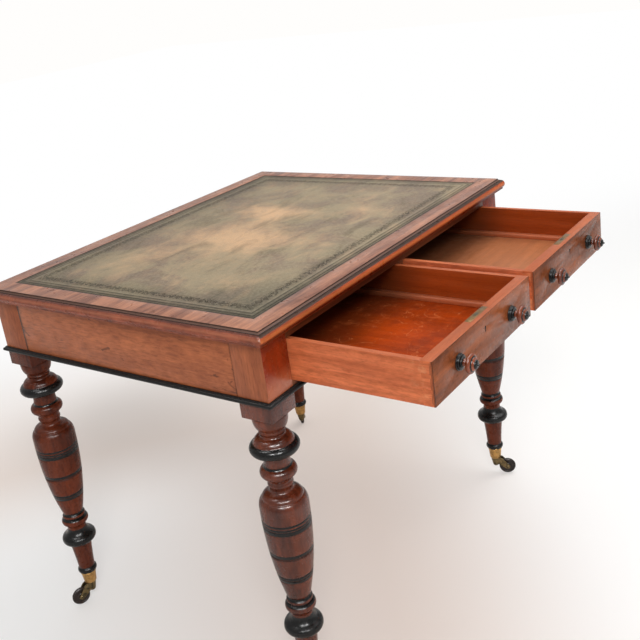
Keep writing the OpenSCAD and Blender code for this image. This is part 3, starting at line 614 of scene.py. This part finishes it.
def fillet_edges(s, base):
    """Dark lines of painted shade in the quirks along both edges of the fillet."""
    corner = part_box("ebonised_fillet")[1]
    x, y = s.split(s.on_table())[:2]
    out = s.min(s.sub(corner[0], s.abs(x)), s.sub(corner[1] - TABLE_Y, s.abs(y)))
    edges = s.max(s.line(out, 0, 0.0018), s.line(out, 0.0055, 0.0018))
    return s.mix(edges, base, (0.006, 0.004, 0.003))


def apron_seams(s, base):
    """The shrinkage gaps between the end aprons and the posts, wide at the back."""
    low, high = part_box("left_apron")
    y = s.split(s.place)[1]
    seam = s.max(s.line(y, high[1] - TENON, 0.009),
                 s.mul(s.line(y, low[1] + TENON, 0.004), 0.5))
    return s.mix(seam, base, (0.01, 0.005, 0.003))


def painted_overhang_shadow(s, base):
    """Painted shadow of the top inside the drawers, darker towards the back where they run under
    it.
    """
    shadow_share = s.smooth(s.split(s.place)[1], -0.285, -0.17, 0, 0.72)
    return s.mix(shadow_share, base, (0.05, 0.013, 0.004))


def scuffs_and_painted_shadow(s, base):
    """Pale scuffs, scratches, blotches and dark specks of use on a drawer bottom, over the
    painted shadow of the top.
    """
    base = painted_overhang_shadow(s, base)
    scuff = s.noise(s.mapped((1, 0.6, 1)), 46, 6, 0.7, 0.8)
    base = s.mix(s.mul(s.smooth(scuff, 0.55, 0.74), 0.5), base, (0.62, 0.16, 0.05))
    streaks = s.noise(s.mapped(turn=(0, 0, 0.6)), 16, 3, 0.5, 1.2)
    scratch = s.mul(s.line(streaks, 0.5, 0.008), s.smooth(scuff, 0.45, 0.6, 0.1, 0.5))
    base = s.mix(scratch, base, (0.75, 0.26, 0.1))
    blotch = s.smooth(s.noise(s.place, 22, 5, 0.7), 0.45, 0.65, 0, 0.5)
    base = s.mix(blotch, base, (0.16, 0.02, 0.004))
    speck = s.smooth(s.noise(s.place, 240, 2), 0.66, 0.74)
    return s.mix(s.mul(speck, 0.5), base, (0.08, 0.012, 0.004))


def tail_marks(s, base):
    """Pale dust and dark rubs on the drawer sides, and a dark line at their front ends."""
    depth = from_low(s, "left_drawer_side_left", "Y")
    dust = s.smooth(s.noise(s.place, 60, 4, 0.65), 0.45, 0.7)
    dust = s.mul(s.fall(depth, 0, 0.05), dust)
    base = s.mix(s.mul(dust, 0.4), base, (0.75, 0.36, 0.17))
    rubs = s.smooth(s.noise(s.mapped((1, 0.35, 1)), 70, 5, 0.7), 0.5, 0.72)
    base = s.mix(s.mul(rubs, 0.5), base, (0.34, 0.06, 0.018))
    return s.mix(s.line(depth, 0, 0.0012), base, (0.02, 0.008, 0.004))


def make_materials():
    c = bpy.context.scene.writing_table_colours

    def two(name, share=1):
        """The light and the dark colour of a wood, both taken down to a share."""
        return [shade(getattr(c, f"{name}_{tone}"), share) for tone in ("light", "dark")]

    def one(name, share):
        """A colour for the light grain, and a share of it for the dark grain."""
        return getattr(c, name), shade(getattr(c, name), share)

    # Each wood: name, light and dark colour, grain, seed, gloss, band, length of band
    MATERIALS.update(
        top=wood("Top_Mahogany", *two("top"), "X", 0.4, 0.32, 34, 7, contrast=1.25,
                 figure=0.5, slant=0.08, shine=0.25, dash=0.2, extra=dark_line_at_leather),
        # The mouldings carry a painted highlight on their round and painted shade in their upper
        # corner, the long ones also painted shade below
        moulding_long=wood("Moulding_Mahogany", *two("moulding"), "X", 0.9, 0.3, 40,
                           contrast=0.9, shine=0.1, dash=0.2, extra=painted_light_on_moulding),
        moulding_end=wood("End_Moulding_Mahogany", *two("end"), "Y", 1.1, 0.28, 30, 2,
                          figure=0.5, slant=0.5, shine=0.2, dash=0.3, extra=painted_light_on_end_moulding),
        post_front=wood("Post_Front_Mahogany", *one("front_post", 0.5), "Z", 2.6, 0.25, 30,
                        contrast=0.7, shine=0.4, dash=0.25, extra=painted_reflection_fade),
        apron=wood("Apron_Mahogany", *two("apron"), "Y", 2.1, 0.33, 13, 5, contrast=0.85,
                   figure=0.8, fleck=0.8, slant=0.12, dash=0.4, extra=apron_seams),
        back_apron=wood("Back_Apron_Mahogany", *two("apron"), "X", 3.7, 0.34, 13, 6,
                        contrast=0.85, figure=0.5, fleck=0.4, coat=0.25),
        # The rails take the drawer-front colours at a half and three fifths, as painted shade
        # under the top
        rail=wood("Rail_Mahogany", shade(c.front_light, 0.5), shade(c.front_dark, 0.6), "X",
                  5.2, 0.36, 30, shine=0.15),
        leg=turned_wood("Leg_Mahogany", *two("leg"), gloss=0.23, shine=0.42),
        dull_leg=turned_wood("Dull_Leg_Mahogany", *two("leg"), gloss=0.27, shine=0.18),
        post=wood("Post_Mahogany", *two("post"), "Z", 1.9, 0.33, 22, 7, contrast=0.8,
                  figure=0.35, dash=0.35),
        knob=turned_wood("Knob_Mahogany", *two("knob"), gloss=0.14, shine=0.5),
        front=wood("Drawer_Front_Mahogany", *two("front"), "X", 6.6, 0.26, 20, 5,
                   contrast=0.95, figure=0.6, slant=0.1, shine=0.12, dash=0.2,
                   extra=front_outline),
        # The top faces of the drawer fronts take the side wood at 0.72 as painted shade against
        # the light from above
        front_edge=wood("Drawer_Front_Edge", *two("side", 0.72), "X", 7.1, 0.42, 26,
                        contrast=0.8, shine=0.15),
        front_end=wood("Drawer_Front_End", *two("side"), "X", 7.3, 0.42, 26, contrast=0.6,
                       shine=0.15, extra=front_seams),
        # The walls of the keyholes are near-black as painted shade in the hole
        keyhole=wood("Keyhole_Lining", (0.012, 0.007, 0.004), (0.006, 0.004, 0.003), "Z", 3.3,
                     0.6),
        side=wood("Drawer_Side_Mahogany", *two("side"), "Y", 7.9, 0.42, 24, 14,
                  contrast=1.4, figure=0.45, slant=0.04, shine=0.2, dash=0.3,
                  extra=tail_marks),
        # The top faces of the drawer sides take the side wood at 0.78 as painted shade against
        # the light from above
        side_edge=wood("Drawer_Side_Edge", *two("side", 0.78), "Y", 7.6, 0.42, 26,
                       contrast=0.8, shine=0.15),
        # The inner faces, bottoms and slips of the drawers carry a painted shadow where they run
        # under the top
        inside=wood("Drawer_Inside", *one("inside", 0.6), "Y", 5.7, 0.45, 24, contrast=0.7,
                    shine=0.1, extra=painted_overhang_shadow),
        back=wood("Drawer_Back_Mahogany", *two("side"), "X", 8.3, 0.45, shine=0.15),
        left_bottom=wood("Left_Bottom_Mahogany", *one("left_bottom", 0.55), "Y", 9.4, 0.4,
                         11, 4, shine=0.06, extra=scuffs_and_painted_shadow),
        right_bottom=wood("Right_Bottom_Cedar", *one("right_bottom", 0.68), "X", 10.2, 0.45,
                          34, contrast=0.8, shine=0.2, extra=painted_overhang_shadow),
        slip=wood("Slip_Mahogany", *two("side", 0.8), "Y", 11.1, 0.45, 40, contrast=0.6,
                  shine=0.15, extra=painted_overhang_shadow),
        deal=wood("Bare_Deal", *one("deal", 0.66), "Y", 12.5, 0.62, 45, 14, contrast=0.7,
                  pores=0.2),
        wheel=wood("Wheel_Wood", *one("wheel", 0.5), "Z", 4.2, 0.38, coat=0.1, pores=0.2),
        ebony=ebonised("Ebonised_Polish", c.ebony),
        bead=ebonised("Ebonised_Bead", c.ebony, shine=0.25, gloss=0.38),
        fillet=ebonised("Ebonised_Fillet", c.fillet, shine=0.12, gloss=0.5, lines=fillet_edges),
        leather=leather("Tooled_Leather", bpy.context.scene.writing_table_sizes, c),
        brass=aged_metal("Aged_Brass", c.brass, 0.55),
        plate=aged_metal("Dull_Brass", (0.25, 0.15, 0.065), 0.6, (0.1, 0.06, 0.028)),
        bronze=aged_metal("Bronze_Horn", (0.2, 0.145, 0.07), 0.8, (0.03, 0.026, 0.018)),
        bolt=aged_metal("Lock_Bolt", (0.11, 0.09, 0.055), 0.7, (0.05, 0.04, 0.025)),
        steel=aged_metal("Dull_Steel", (0.3, 0.29, 0.27), 0.4, (0.08, 0.07, 0.06)),
    )


class WRITINGTABLE_OT_top(bpy.types.Operator):
    """Make the top board with its moulded edge, the ebonised fillet and the tooled leather"""
    bl_idname = "writing_table.top"
    bl_label = "Top"

    def execute(self, context):
        corner = Vector(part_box("ebonised_fillet")[1])

        def beyond(place):
            """How far a place lies outside the fillet, at the ends and at the long sides."""
            return abs(place.x) - corner.x, abs(place.y - TABLE_Y) - corner.y + TABLE_Y

        def at_corner(edge):
            ends = [beyond(v.co) for v in edge.verts]
            return all(min(e) > 0.0004 and abs(e[0] - e[1]) < 0.0002 for e in ends)

        top = softened("top_board", "top", SOFT_ARRIS, at_corner)
        for look, here in (("moulding_long", 1), ("moulding_end", 0)):
            paint(top, look, lambda face: beyond(face.center)[here]
                  > max(0.0, beyond(face.center)[1 - here]))
        softened("ebonised_fillet", "fillet", context.scene.writing_table_sizes.moulding_arris)
        softened("leather_top", "leather", FINE_ARRIS)
        return {"FINISHED"}


class WRITINGTABLE_OT_frieze(bpy.types.Operator):
    """Make the aprons, rails, upright and bead of the frieze"""
    bl_idname = "writing_table.frieze"
    bl_label = "Frieze"

    def execute(self, context):
        softened("left_apron", "apron")
        softened("right_apron", "apron")
        softened("back_apron", "back_apron")
        for node in ("top_rail", "bottom_rail", "drawer_divider"):
            softened(node, "rail")
        softened("apron_bead", "bead", context.scene.writing_table_sizes.moulding_arris)
        return {"FINISHED"}


class WRITINGTABLE_OT_inside(bpy.types.Operator):
    """Make the runners, kickers, stops, glue blocks and screws under the top"""
    bl_idname = "writing_table.inside"
    bl_label = "Inside work"

    def execute(self, context):
        for node in ("left_runner", "right_runner", "centre_runner", "kickers", "drawer_stops",
                     "glue_blocks"):
            softened(node, "deal")
        # The screws keep their own mesh
        looks = frame["nodes"]["top_screws"].data.materials
        looks.clear()
        looks.append(MATERIALS["steel"])
        return {"FINISHED"}


# Heights in millimetres: the foot of the square block, and the vase where it is scored
BLOCK_Z = 592.5
VASE_LOW, VASE_HIGH = 255, 400
# Half the width and the depth of a scored groove, and the least distance from a profile point
GROOVE_HALF, GROOVE_DEPTH, CLEAR = 0.6, 0.7, 0.05
# Lowest and highest point of each black band of the legs, in millimetres
EBONISED_BANDS = (
    (75.6, 90.0), (152.4, 191.0), (214.6, 221.0), (225.6, 232.5), (272.0, 278.2),
    (279.0, 285.0), (325.0, 326.2), (327.4, 328.4), (329.2, 335.0), (377.5, 385.5),
    (386.4, 390.4), (393.0, 397.0), (493.5, 497.2), (517.5, 541.2),
)


def leg_profile():
    """Radius and height of the turned leg in millimetres, from its foot in the cup upwards."""
    steps = 44
    vase = [(22 + 21.5 * (1 - (1 - t / steps) ** 2.15), 233 + 178 * t / steps)
            for t in range(steps + 1)]
    ankle = [(17.2 + 5.3 * (t / 12) ** 1.3, 89 + 62.5 * t / 12) for t in range(13)]
    return (
        [(0, 60), (11.4, 60), (14.3, 74.4), (16.0, 75), (16.4, 76)]
        + arc(16.2, 82, 4.3, 6, -75, 75, 12) + ankle
        + [(22.7, 152), (24.0, 153.2), (26.2, 154.6)] + arc(29, 166.5, 7, 9.5, -80, 55, 16)
        + arc(34, 195.5, 14.5, 20.5, 246, 186, 12)
        + [(19.9, 196.5), (21.4, 199.4)] + arc(22, 209.8, 6.2, 7.6, -72, 66, 14)
        + [(21.8, 218.0), (21.7, 219.2)] + arc(20.5, 223, 3.5, 3.6, -60, 60, 8)
        + [(20.3, 227.9), (20.3, 230.4)] + vase
        + arc(35.5, 418, 8, 17, 2, 66, 12) + [(38.2, 434.1), (37.0, 434.7)]
        + arc(22.5, 435, 14, 10, 4, 74, 12) + arc(25.2, 450.2, 5.1, 4.6, 238, 184, 6)
        + [(20.1, 455.2), (21.6, 457.0), (22.5, 459.0), (22.6, 461.4), (21.8, 463.4),
           (20.7, 465.4), (21.2, 467.6), (23.2, 470.2), (24.0, 472.6), (24.9, 474.6)]
        + arc(24.5, 484, 8, 9.4, -62, 64, 16)
        + [(25.2, 493.4), (24.2, 494.6), (22.8, 497)] + arc(24.6, 507.5, 2, 10, 236, 124, 8)
        + [(24.5, 518.4), (27.6, 519.8), (31.5, 520.6)]
        + arc(32.9, 531, 10.6, 10.2, -74, 68, 20) + [(36.0, 540.8)]
        + arc(22.6, 539.4, 12.6, 12.8, 12, 74, 12) + arc(24.6, 555.6, 3.6, 4.0, 240, 184, 5)
        + [(21.0, 558.3), (22.6, 559.2), (23.3, 560.6), (22.8, 562.4), (22.0, 563.4)]
        + arc(19, 588, 11.8, 24, -70, 0, 16) + [(30.5, 590.3), (29.6, 591.6)]
        + [(28.4, BLOCK_Z), (28.4, BLOCK_Z + 6), (0, BLOCK_Z + 6)]
    )


def scored(profile):
    """Adds the edges of the painted bands to a leg profile, as shallow grooves on the vase."""
    edges = sorted({z for band in EBONISED_BANDS for z in band})
    out = []
    for (r0, z0), (r1, z1) in zip(profile, profile[1:]):
        out.append((r0, z0))
        for z in edges:
            if z0 + CLEAR < z < z1 - CLEAR:
                r = r0 + (r1 - r0) * (z - z0) / (z1 - z0)
                if VASE_LOW < z < VASE_HIGH:
                    out += [(r, z - GROOVE_HALF), (r - GROOVE_DEPTH, z), (r, z + GROOVE_HALF)]
                else:
                    out.append((r, z))
    out.append(profile[-1])
    rising = out[:1]
    for point in out[1:]:
        if not (VASE_LOW < point[1] < VASE_HIGH and point[1] <= rising[-1][1]):
            rising.append(point)
    return rising


class WRITINGTABLE_OT_legs(bpy.types.Operator):
    """Turn a leg, paint its bands black, and set one under the square post at each corner"""
    bl_idname = "writing_table.legs"
    bl_label = "Turned legs"

    def execute(self, context):
        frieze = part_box("left_apron")[0][2]
        leg = turned("leg", scored(leg_profile()), context.scene.writing_table_sizes.lathe_steps,
                     lambda z: any(low < z < high for low, high in EBONISED_BANDS))
        for corner in CORNERS:
            node = "leg_" + corner
            part = moved_copy(leg, (*middle_of(node)[:2], 0))
            leg_wood = MATERIALS["leg" if corner == "front_left" else "dull_leg"]
            part.data.materials[0] = leg_wood
            post = softened(node, "post", POST_ARRIS)
            start_edit(post)
            bpy.ops.mesh.bisect(plane_co=(0, 0, (BLOCK_Z + 0.05) * MM), plane_no=(0, 0, 1),
                                use_fill=True, clear_inner=True)
            bpy.ops.mesh.select_all(action="SELECT")
            bpy.ops.mesh.bisect(plane_co=(0, 0, frieze), plane_no=(0, 0, 1))
            end_edit()
            post.data.materials.append(leg_wood)
            for face in post.data.polygons:
                face.material_index = int(face.center.z < frieze)
            # The front faces of the front posts get the painted shade and painted red reflection
            # of the drawer sides
            if corner.startswith("front"):
                paint(post, "post_front",
                      lambda face: face.normal.y < -0.9 and face.center.z > frieze)
            pick(post)
            part.select_set(True)
            bpy.ops.object.join()
            bpy.ops.object.shade_smooth_by_angle(angle=math.radians(TURNED_SMOOTH_BELOW))
        bpy.data.objects.remove(leg)
        return {"FINISHED"}


class WRITINGTABLE_OT_casters(bpy.types.Operator):
    """Make the four casters: cups, horns, pins and wheels"""
    bl_idname = "writing_table.casters"
    bl_label = "Casters"

    def execute(self, context):
        for corner in CORNERS:
            softened("caster_cup_" + corner, "brass", FINE_ARRIS)
            softened("caster_horn_" + corner, "bronze", SOFT_ARRIS)
            softened("caster_pin_" + corner, "bronze", FINE_ARRIS)
            softened("caster_wheel_" + corner, "wheel", FINE_ARRIS)
        return {"FINISHED"}


class WRITINGTABLE_OT_drawers(bpy.types.Operator):
    """Make the fronts, sides, backs, bottoms and slips of both drawers"""
    bl_idname = "writing_table.drawers"
    bl_label = "Drawers"

    def execute(self, context):
        for side in ("left", "right"):
            front = softened(side + "_drawer_front", "front")
            paint(front, "front_end", lambda face: face.normal.y > -0.3)
            paint(front, "front_edge", lambda face: face.normal.z > 0.5)
            # The keyhole's walls are the faces in a small space behind the middle of the front
            low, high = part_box(side + "_drawer_front")
            middle = middle_of(side + "_drawer_front")[0]
            # The keyhole walls are painted near-black: painted shade in the hole
            paint(front, "keyhole", lambda face: abs(face.center.x - middle) < 0.012
                  and face.normal.y > -0.3 and low[2] + 0.01 < face.center.z < high[2] - 0.004
                  and low[1] < face.center.y < low[1] + 0.0125)
            for hand, inner in (("left", 1), ("right", -1)):
                board = softened(f"{side}_drawer_side_{hand}", "side")
                paint(board, "side_edge", lambda face: face.normal.z > 0.8)
                paint(board, "inside", lambda face: face.normal.x * inner > 0.7)
            back = softened(side + "_drawer_back", "back")
            paint(back, "inside", lambda face: face.normal.y < -0.7)
            softened(side + "_drawer_bottom", side + "_bottom")
            softened(side + "_drawer_slips", "slip")
        return {"FINISHED"}


def knob_profile():
    """Radius and height in millimetres out from the drawer front, from tenon to tip."""
    return (
        [(0, -20), (6.5, -20), (6.5, 0), (13.2, 0)] + arc(13.0, 1.1, 1.0, 1.1, -80, 60, 5)
        + [(12.6, 2.4), (12.4, 2.9), (12.9, 3.3)] + arc(10.4, 4.2, 2.6, 2.2, -20, 80, 6)
        + [(9.0, 6.6), (8.8, 7.2), (8.0, 8.2), (6.6, 9.2)]
        + arc(7.6, 12.4, 2.5, 3.2, 240, 120, 6)
        + [(6.6, 15.6), (8.6, 16.8), (10.2, 17.2)] + arc(12.6, 20.4, 3.9, 3.4, -74, 70, 12)
        + [(13.0, 24.2), (11.2, 24.9), (10.9, 25.7), (10.0, 26.9), (8.6, 27.7), (8.3, 28.3)]
        + arc(3.4, 28.4, 4.2, 2.9, 0, 70, 6) + arc(4.6, 32.3, 2.6, 1.2, 236, 176, 3)
        + [(1.9, 33.2)] + arc(0, 33.4, 1.6, 1.5, 20, 90, 5)
    )


class WRITINGTABLE_OT_knobs(bpy.types.Operator):
    """Turn a knob with an ebonised rose and tip, and set two on each drawer"""
    bl_idname = "writing_table.knobs"
    bl_label = "Knobs"

    def execute(self, context):
        steps = context.scene.writing_table_sizes.lathe_steps * 2 // 3
        knob = turned("knob", knob_profile(), steps,
                      lambda z: z < 9.0 or 24.3 < z < 26.2 or z > 28.4)
        for side in ("left", "right"):
            for which in ("outer", "inner"):
                node = f"{side}_knob_{which}"
                place = middle_of(node)
                place[1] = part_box(side + "_drawer_front")[0][1]
                copy = moved_copy(knob, place, (math.pi / 2, 0, 0))
                finish_piece(copy, "turned_" + node, side + "_drawer", "mahogany", node,
                             TURNED_SMOOTH_BELOW)
        bpy.data.objects.remove(knob)
        return {"FINISHED"}


class WRITINGTABLE_OT_locks(bpy.types.Operator):
    """Make the lock cases and their bolts"""
    bl_idname = "writing_table.locks"
    bl_label = "Locks"

    def execute(self, context):
        for side in ("left", "right"):
            softened(side + "_lock_case", "plate", FINE_ARRIS)
            softened(side + "_lock_bolt", "bolt", BOLT_ARRIS)
        return {"FINISHED"}


class WRITINGTABLE_OT_stage(bpy.types.Operator):
    """Set the floor, the lamps and the camera"""
    bl_idname = "writing_table.stage"
    bl_label = "Stage"

    def execute(self, context):
        scene = context.scene
        settings = scene.writing_table_stage
        bpy.ops.mesh.primitive_plane_add(size=24)
        floor = context.object
        floor.name = "floor"
        floor.data.materials.append(self.floor_look(settings))
        scene.world = scene.world or bpy.data.worlds.new("Studio")
        scene.world.use_nodes = True
        self.sky_look(scene.world.node_tree, settings)
        self.lamp("key", (1.2, -0.8, 2.9), (0, 0.1, 0.6), 2.6, 2.2, settings.key_power)
        left = (-2.3, -1.9, 2.9), (0, 0, 0.5)
        fill = self.lamp("fill", *left, 0.9, 0.9, settings.fill_power)
        fill.visible_glossy = False
        strip = self.lamp("strip", (-0.3, 0.0, 3.0), (-0.3, 0.0, 0.5), 3.2, 0.45,
                          settings.strip_power)
        strip.visible_diffuse = False
        window = self.lamp("window", *left, 2.6, 0.9, settings.window_power)
        window.visible_diffuse = False
        bpy.ops.object.camera_add(
            location=(-1.39945, -1.20370 + TABLE_Y, 1.28799),
            rotation=tuple(math.radians(a) for a in (71.37201, 7.54747, -55.01429)))
        scene.camera = context.object
        camera = scene.camera.data
        camera.lens = settings.focal_length
        camera.sensor_width = 36.0
        camera.shift_x = 0.010279
        camera.shift_y = -0.092043
        camera.clip_end = 100.0
        scene.view_settings.view_transform = "Standard"
        return {"FINISHED"}

    def sky_look(self, tree, settings):
        """White for the camera, even for the wood, and in the polish brighter far away."""
        w = Nodes(tree)
        towards = w.node("TexCoord").outputs["Generated"]
        far = w.vector("DOT_PRODUCT", towards, AWAY, "Value")
        mirrored = w.max(w.smooth(far, 0.0, 0.6, 0.06, 0.7), settings.room_strength)
        ray = w.node("LightPath").outputs
        strength = settings.sky_strength
        for kind, level in (("Is Glossy Ray", mirrored), ("Is Transmission Ray", 1.0),
                            ("Is Camera Ray", 1.0)):
            strength = w.node("Mix", {
                "Factor": ray[kind], "A": strength, "B": level}).outputs["Result"]
        sky = w.node("Background", {
            "Color": (1.0, 0.99, 0.975), "Strength": strength})
        w.node("OutputWorld", {"Surface": sky.outputs[0]})

    def lamp(self, name, place, target, width, depth, power):
        bpy.ops.object.light_add(type="AREA", location=place)
        lamp = bpy.context.object
        lamp.name = name
        lamp.data.shape = "RECTANGLE"
        lamp.data.size = width
        lamp.data.size_y = depth
        lamp.data.energy = power
        back = (Vector(place) - Vector(target)).normalized()
        across = Vector(RIGHTWARD)
        across = (across - back * across.dot(back)).normalized()
        lamp.rotation_euler = Matrix((across, back.cross(across), back)).transposed().to_euler()
        return lamp

    def floor_look(self, settings):
        """Painted light and shade on the floor: a warm painted bounce under the table, a painted
        shadow behind it and painted light to the near left and to the right; pale far off, with
        some light of its own.
        """
        s = Shader("Studio_Floor", Roughness=0.9, Specular_IOR_Level=0.1)
        x, y = s.split(s.place)[:2]
        far = s.add(s.mul(x, 0.6), s.mul(y, 0.8))
        right = s.sub(s.mul(x, 0.65), s.mul(y, 0.75))
        painted_light_and_backdrop = s.max(s.smooth(far, 0.5, 1.9), s.smooth(right, 0.0, 0.6))
        painted_light_near = s.mul(s.smooth(far, 0.9, 0.3), s.smooth(right, 0.1, -0.8))
        out = s.vector("DISTANCE", s.place, (0.1, 0.4, 0.0), "Value")
        painted_light_and_backdrop = s.max(s.max(painted_light_and_backdrop, painted_light_near), s.smooth(out, 1.1, 2.2))
        # A painted shadow of the table on the floor behind it
        away = s.vector("DISTANCE", s.place, (0.2, 1.0, 0.0), "Value")
        painted_shadow = s.smooth(away, 0.05, 0.5, 0.8, 1.0)
        painted_shadow = s.join(painted_shadow, painted_shadow, painted_shadow)
        base = s.mix(painted_light_and_backdrop, settings.floor, (0.95, 0.945, 0.935))
        s.set(Base_Color=s.mix(1.0, base, painted_shadow, "MULTIPLY"))
        # The glow is warm under the table with the same painted bounce
        glow = s.mix(painted_light_and_backdrop, (0.85, 0.745, 0.69), (1.0, 1.0, 1.0))
        glow = s.mix(1.0, glow, painted_shadow, "MULTIPLY")
        glow = s.node("Emission", {"Color": glow, "Strength": 1.0})
        view = s.node("LightPath").outputs["Is Camera Ray"]
        share = s.max(s.smooth(far, 0.4, 2.6), s.smooth(out, 1.6, 4.5))
        share = s.mul(view, s.smooth(share, 0.0, 1.0, settings.floor_glow, 1.0))
        blend = s.node("MixShader", {
            0: share, 1: s.skin.outputs[0], 2: glow.outputs[0]})
        s.put(s.output.inputs["Surface"], blend.outputs[0])
        return s.material


OPERATORS = (
    WRITINGTABLE_OT_top, WRITINGTABLE_OT_frieze, WRITINGTABLE_OT_inside, WRITINGTABLE_OT_legs,
    WRITINGTABLE_OT_casters, WRITINGTABLE_OT_drawers, WRITINGTABLE_OT_knobs,
    WRITINGTABLE_OT_locks, WRITINGTABLE_OT_stage,
)
GROUPS = {
    "writing_table_sizes": TableSizes,
    "writing_table_colours": TableColours,
    "writing_table_stage": StageSettings,
}


class WRITINGTABLE_PT_panel(bpy.types.Panel):
    bl_label = "Writing Table"
    bl_idname = "WRITINGTABLE_PT_panel"
    bl_space_type = "VIEW_3D"
    bl_region_type = "UI"
    bl_category = "Table"

    def draw(self, context):
        for group in (getattr(context.scene, name) for name in GROUPS):
            column = self.layout.column(align=True)
            for name in group.bl_rna.properties.keys():
                if name not in ("rna_type", "name"):
                    column.prop(group, name)
        for operator in OPERATORS:
            self.layout.operator(operator.bl_idname)


CLASSES = (*GROUPS.values(), *OPERATORS, WRITINGTABLE_PT_panel)


def register():
    for item in CLASSES:
        bpy.utils.register_class(item)
    for name, group in GROUPS.items():
        setattr(bpy.types.Scene, name, bpy.props.PointerProperty(type=group))


def unregister():
    for name in GROUPS:
        delattr(bpy.types.Scene, name)
    for item in reversed(CLASSES):
        bpy.utils.unregister_class(item)


def main():
    register()
    make_materials()
    bpy.ops.writing_table.stage()
    bpy.ops.writing_table.top()
    bpy.ops.writing_table.frieze()
    bpy.ops.writing_table.inside()
    bpy.ops.writing_table.legs()
    bpy.ops.writing_table.casters()
    bpy.ops.writing_table.drawers()
    bpy.ops.writing_table.knobs()
    bpy.ops.writing_table.locks()


if __name__ == "__main__":
    main()
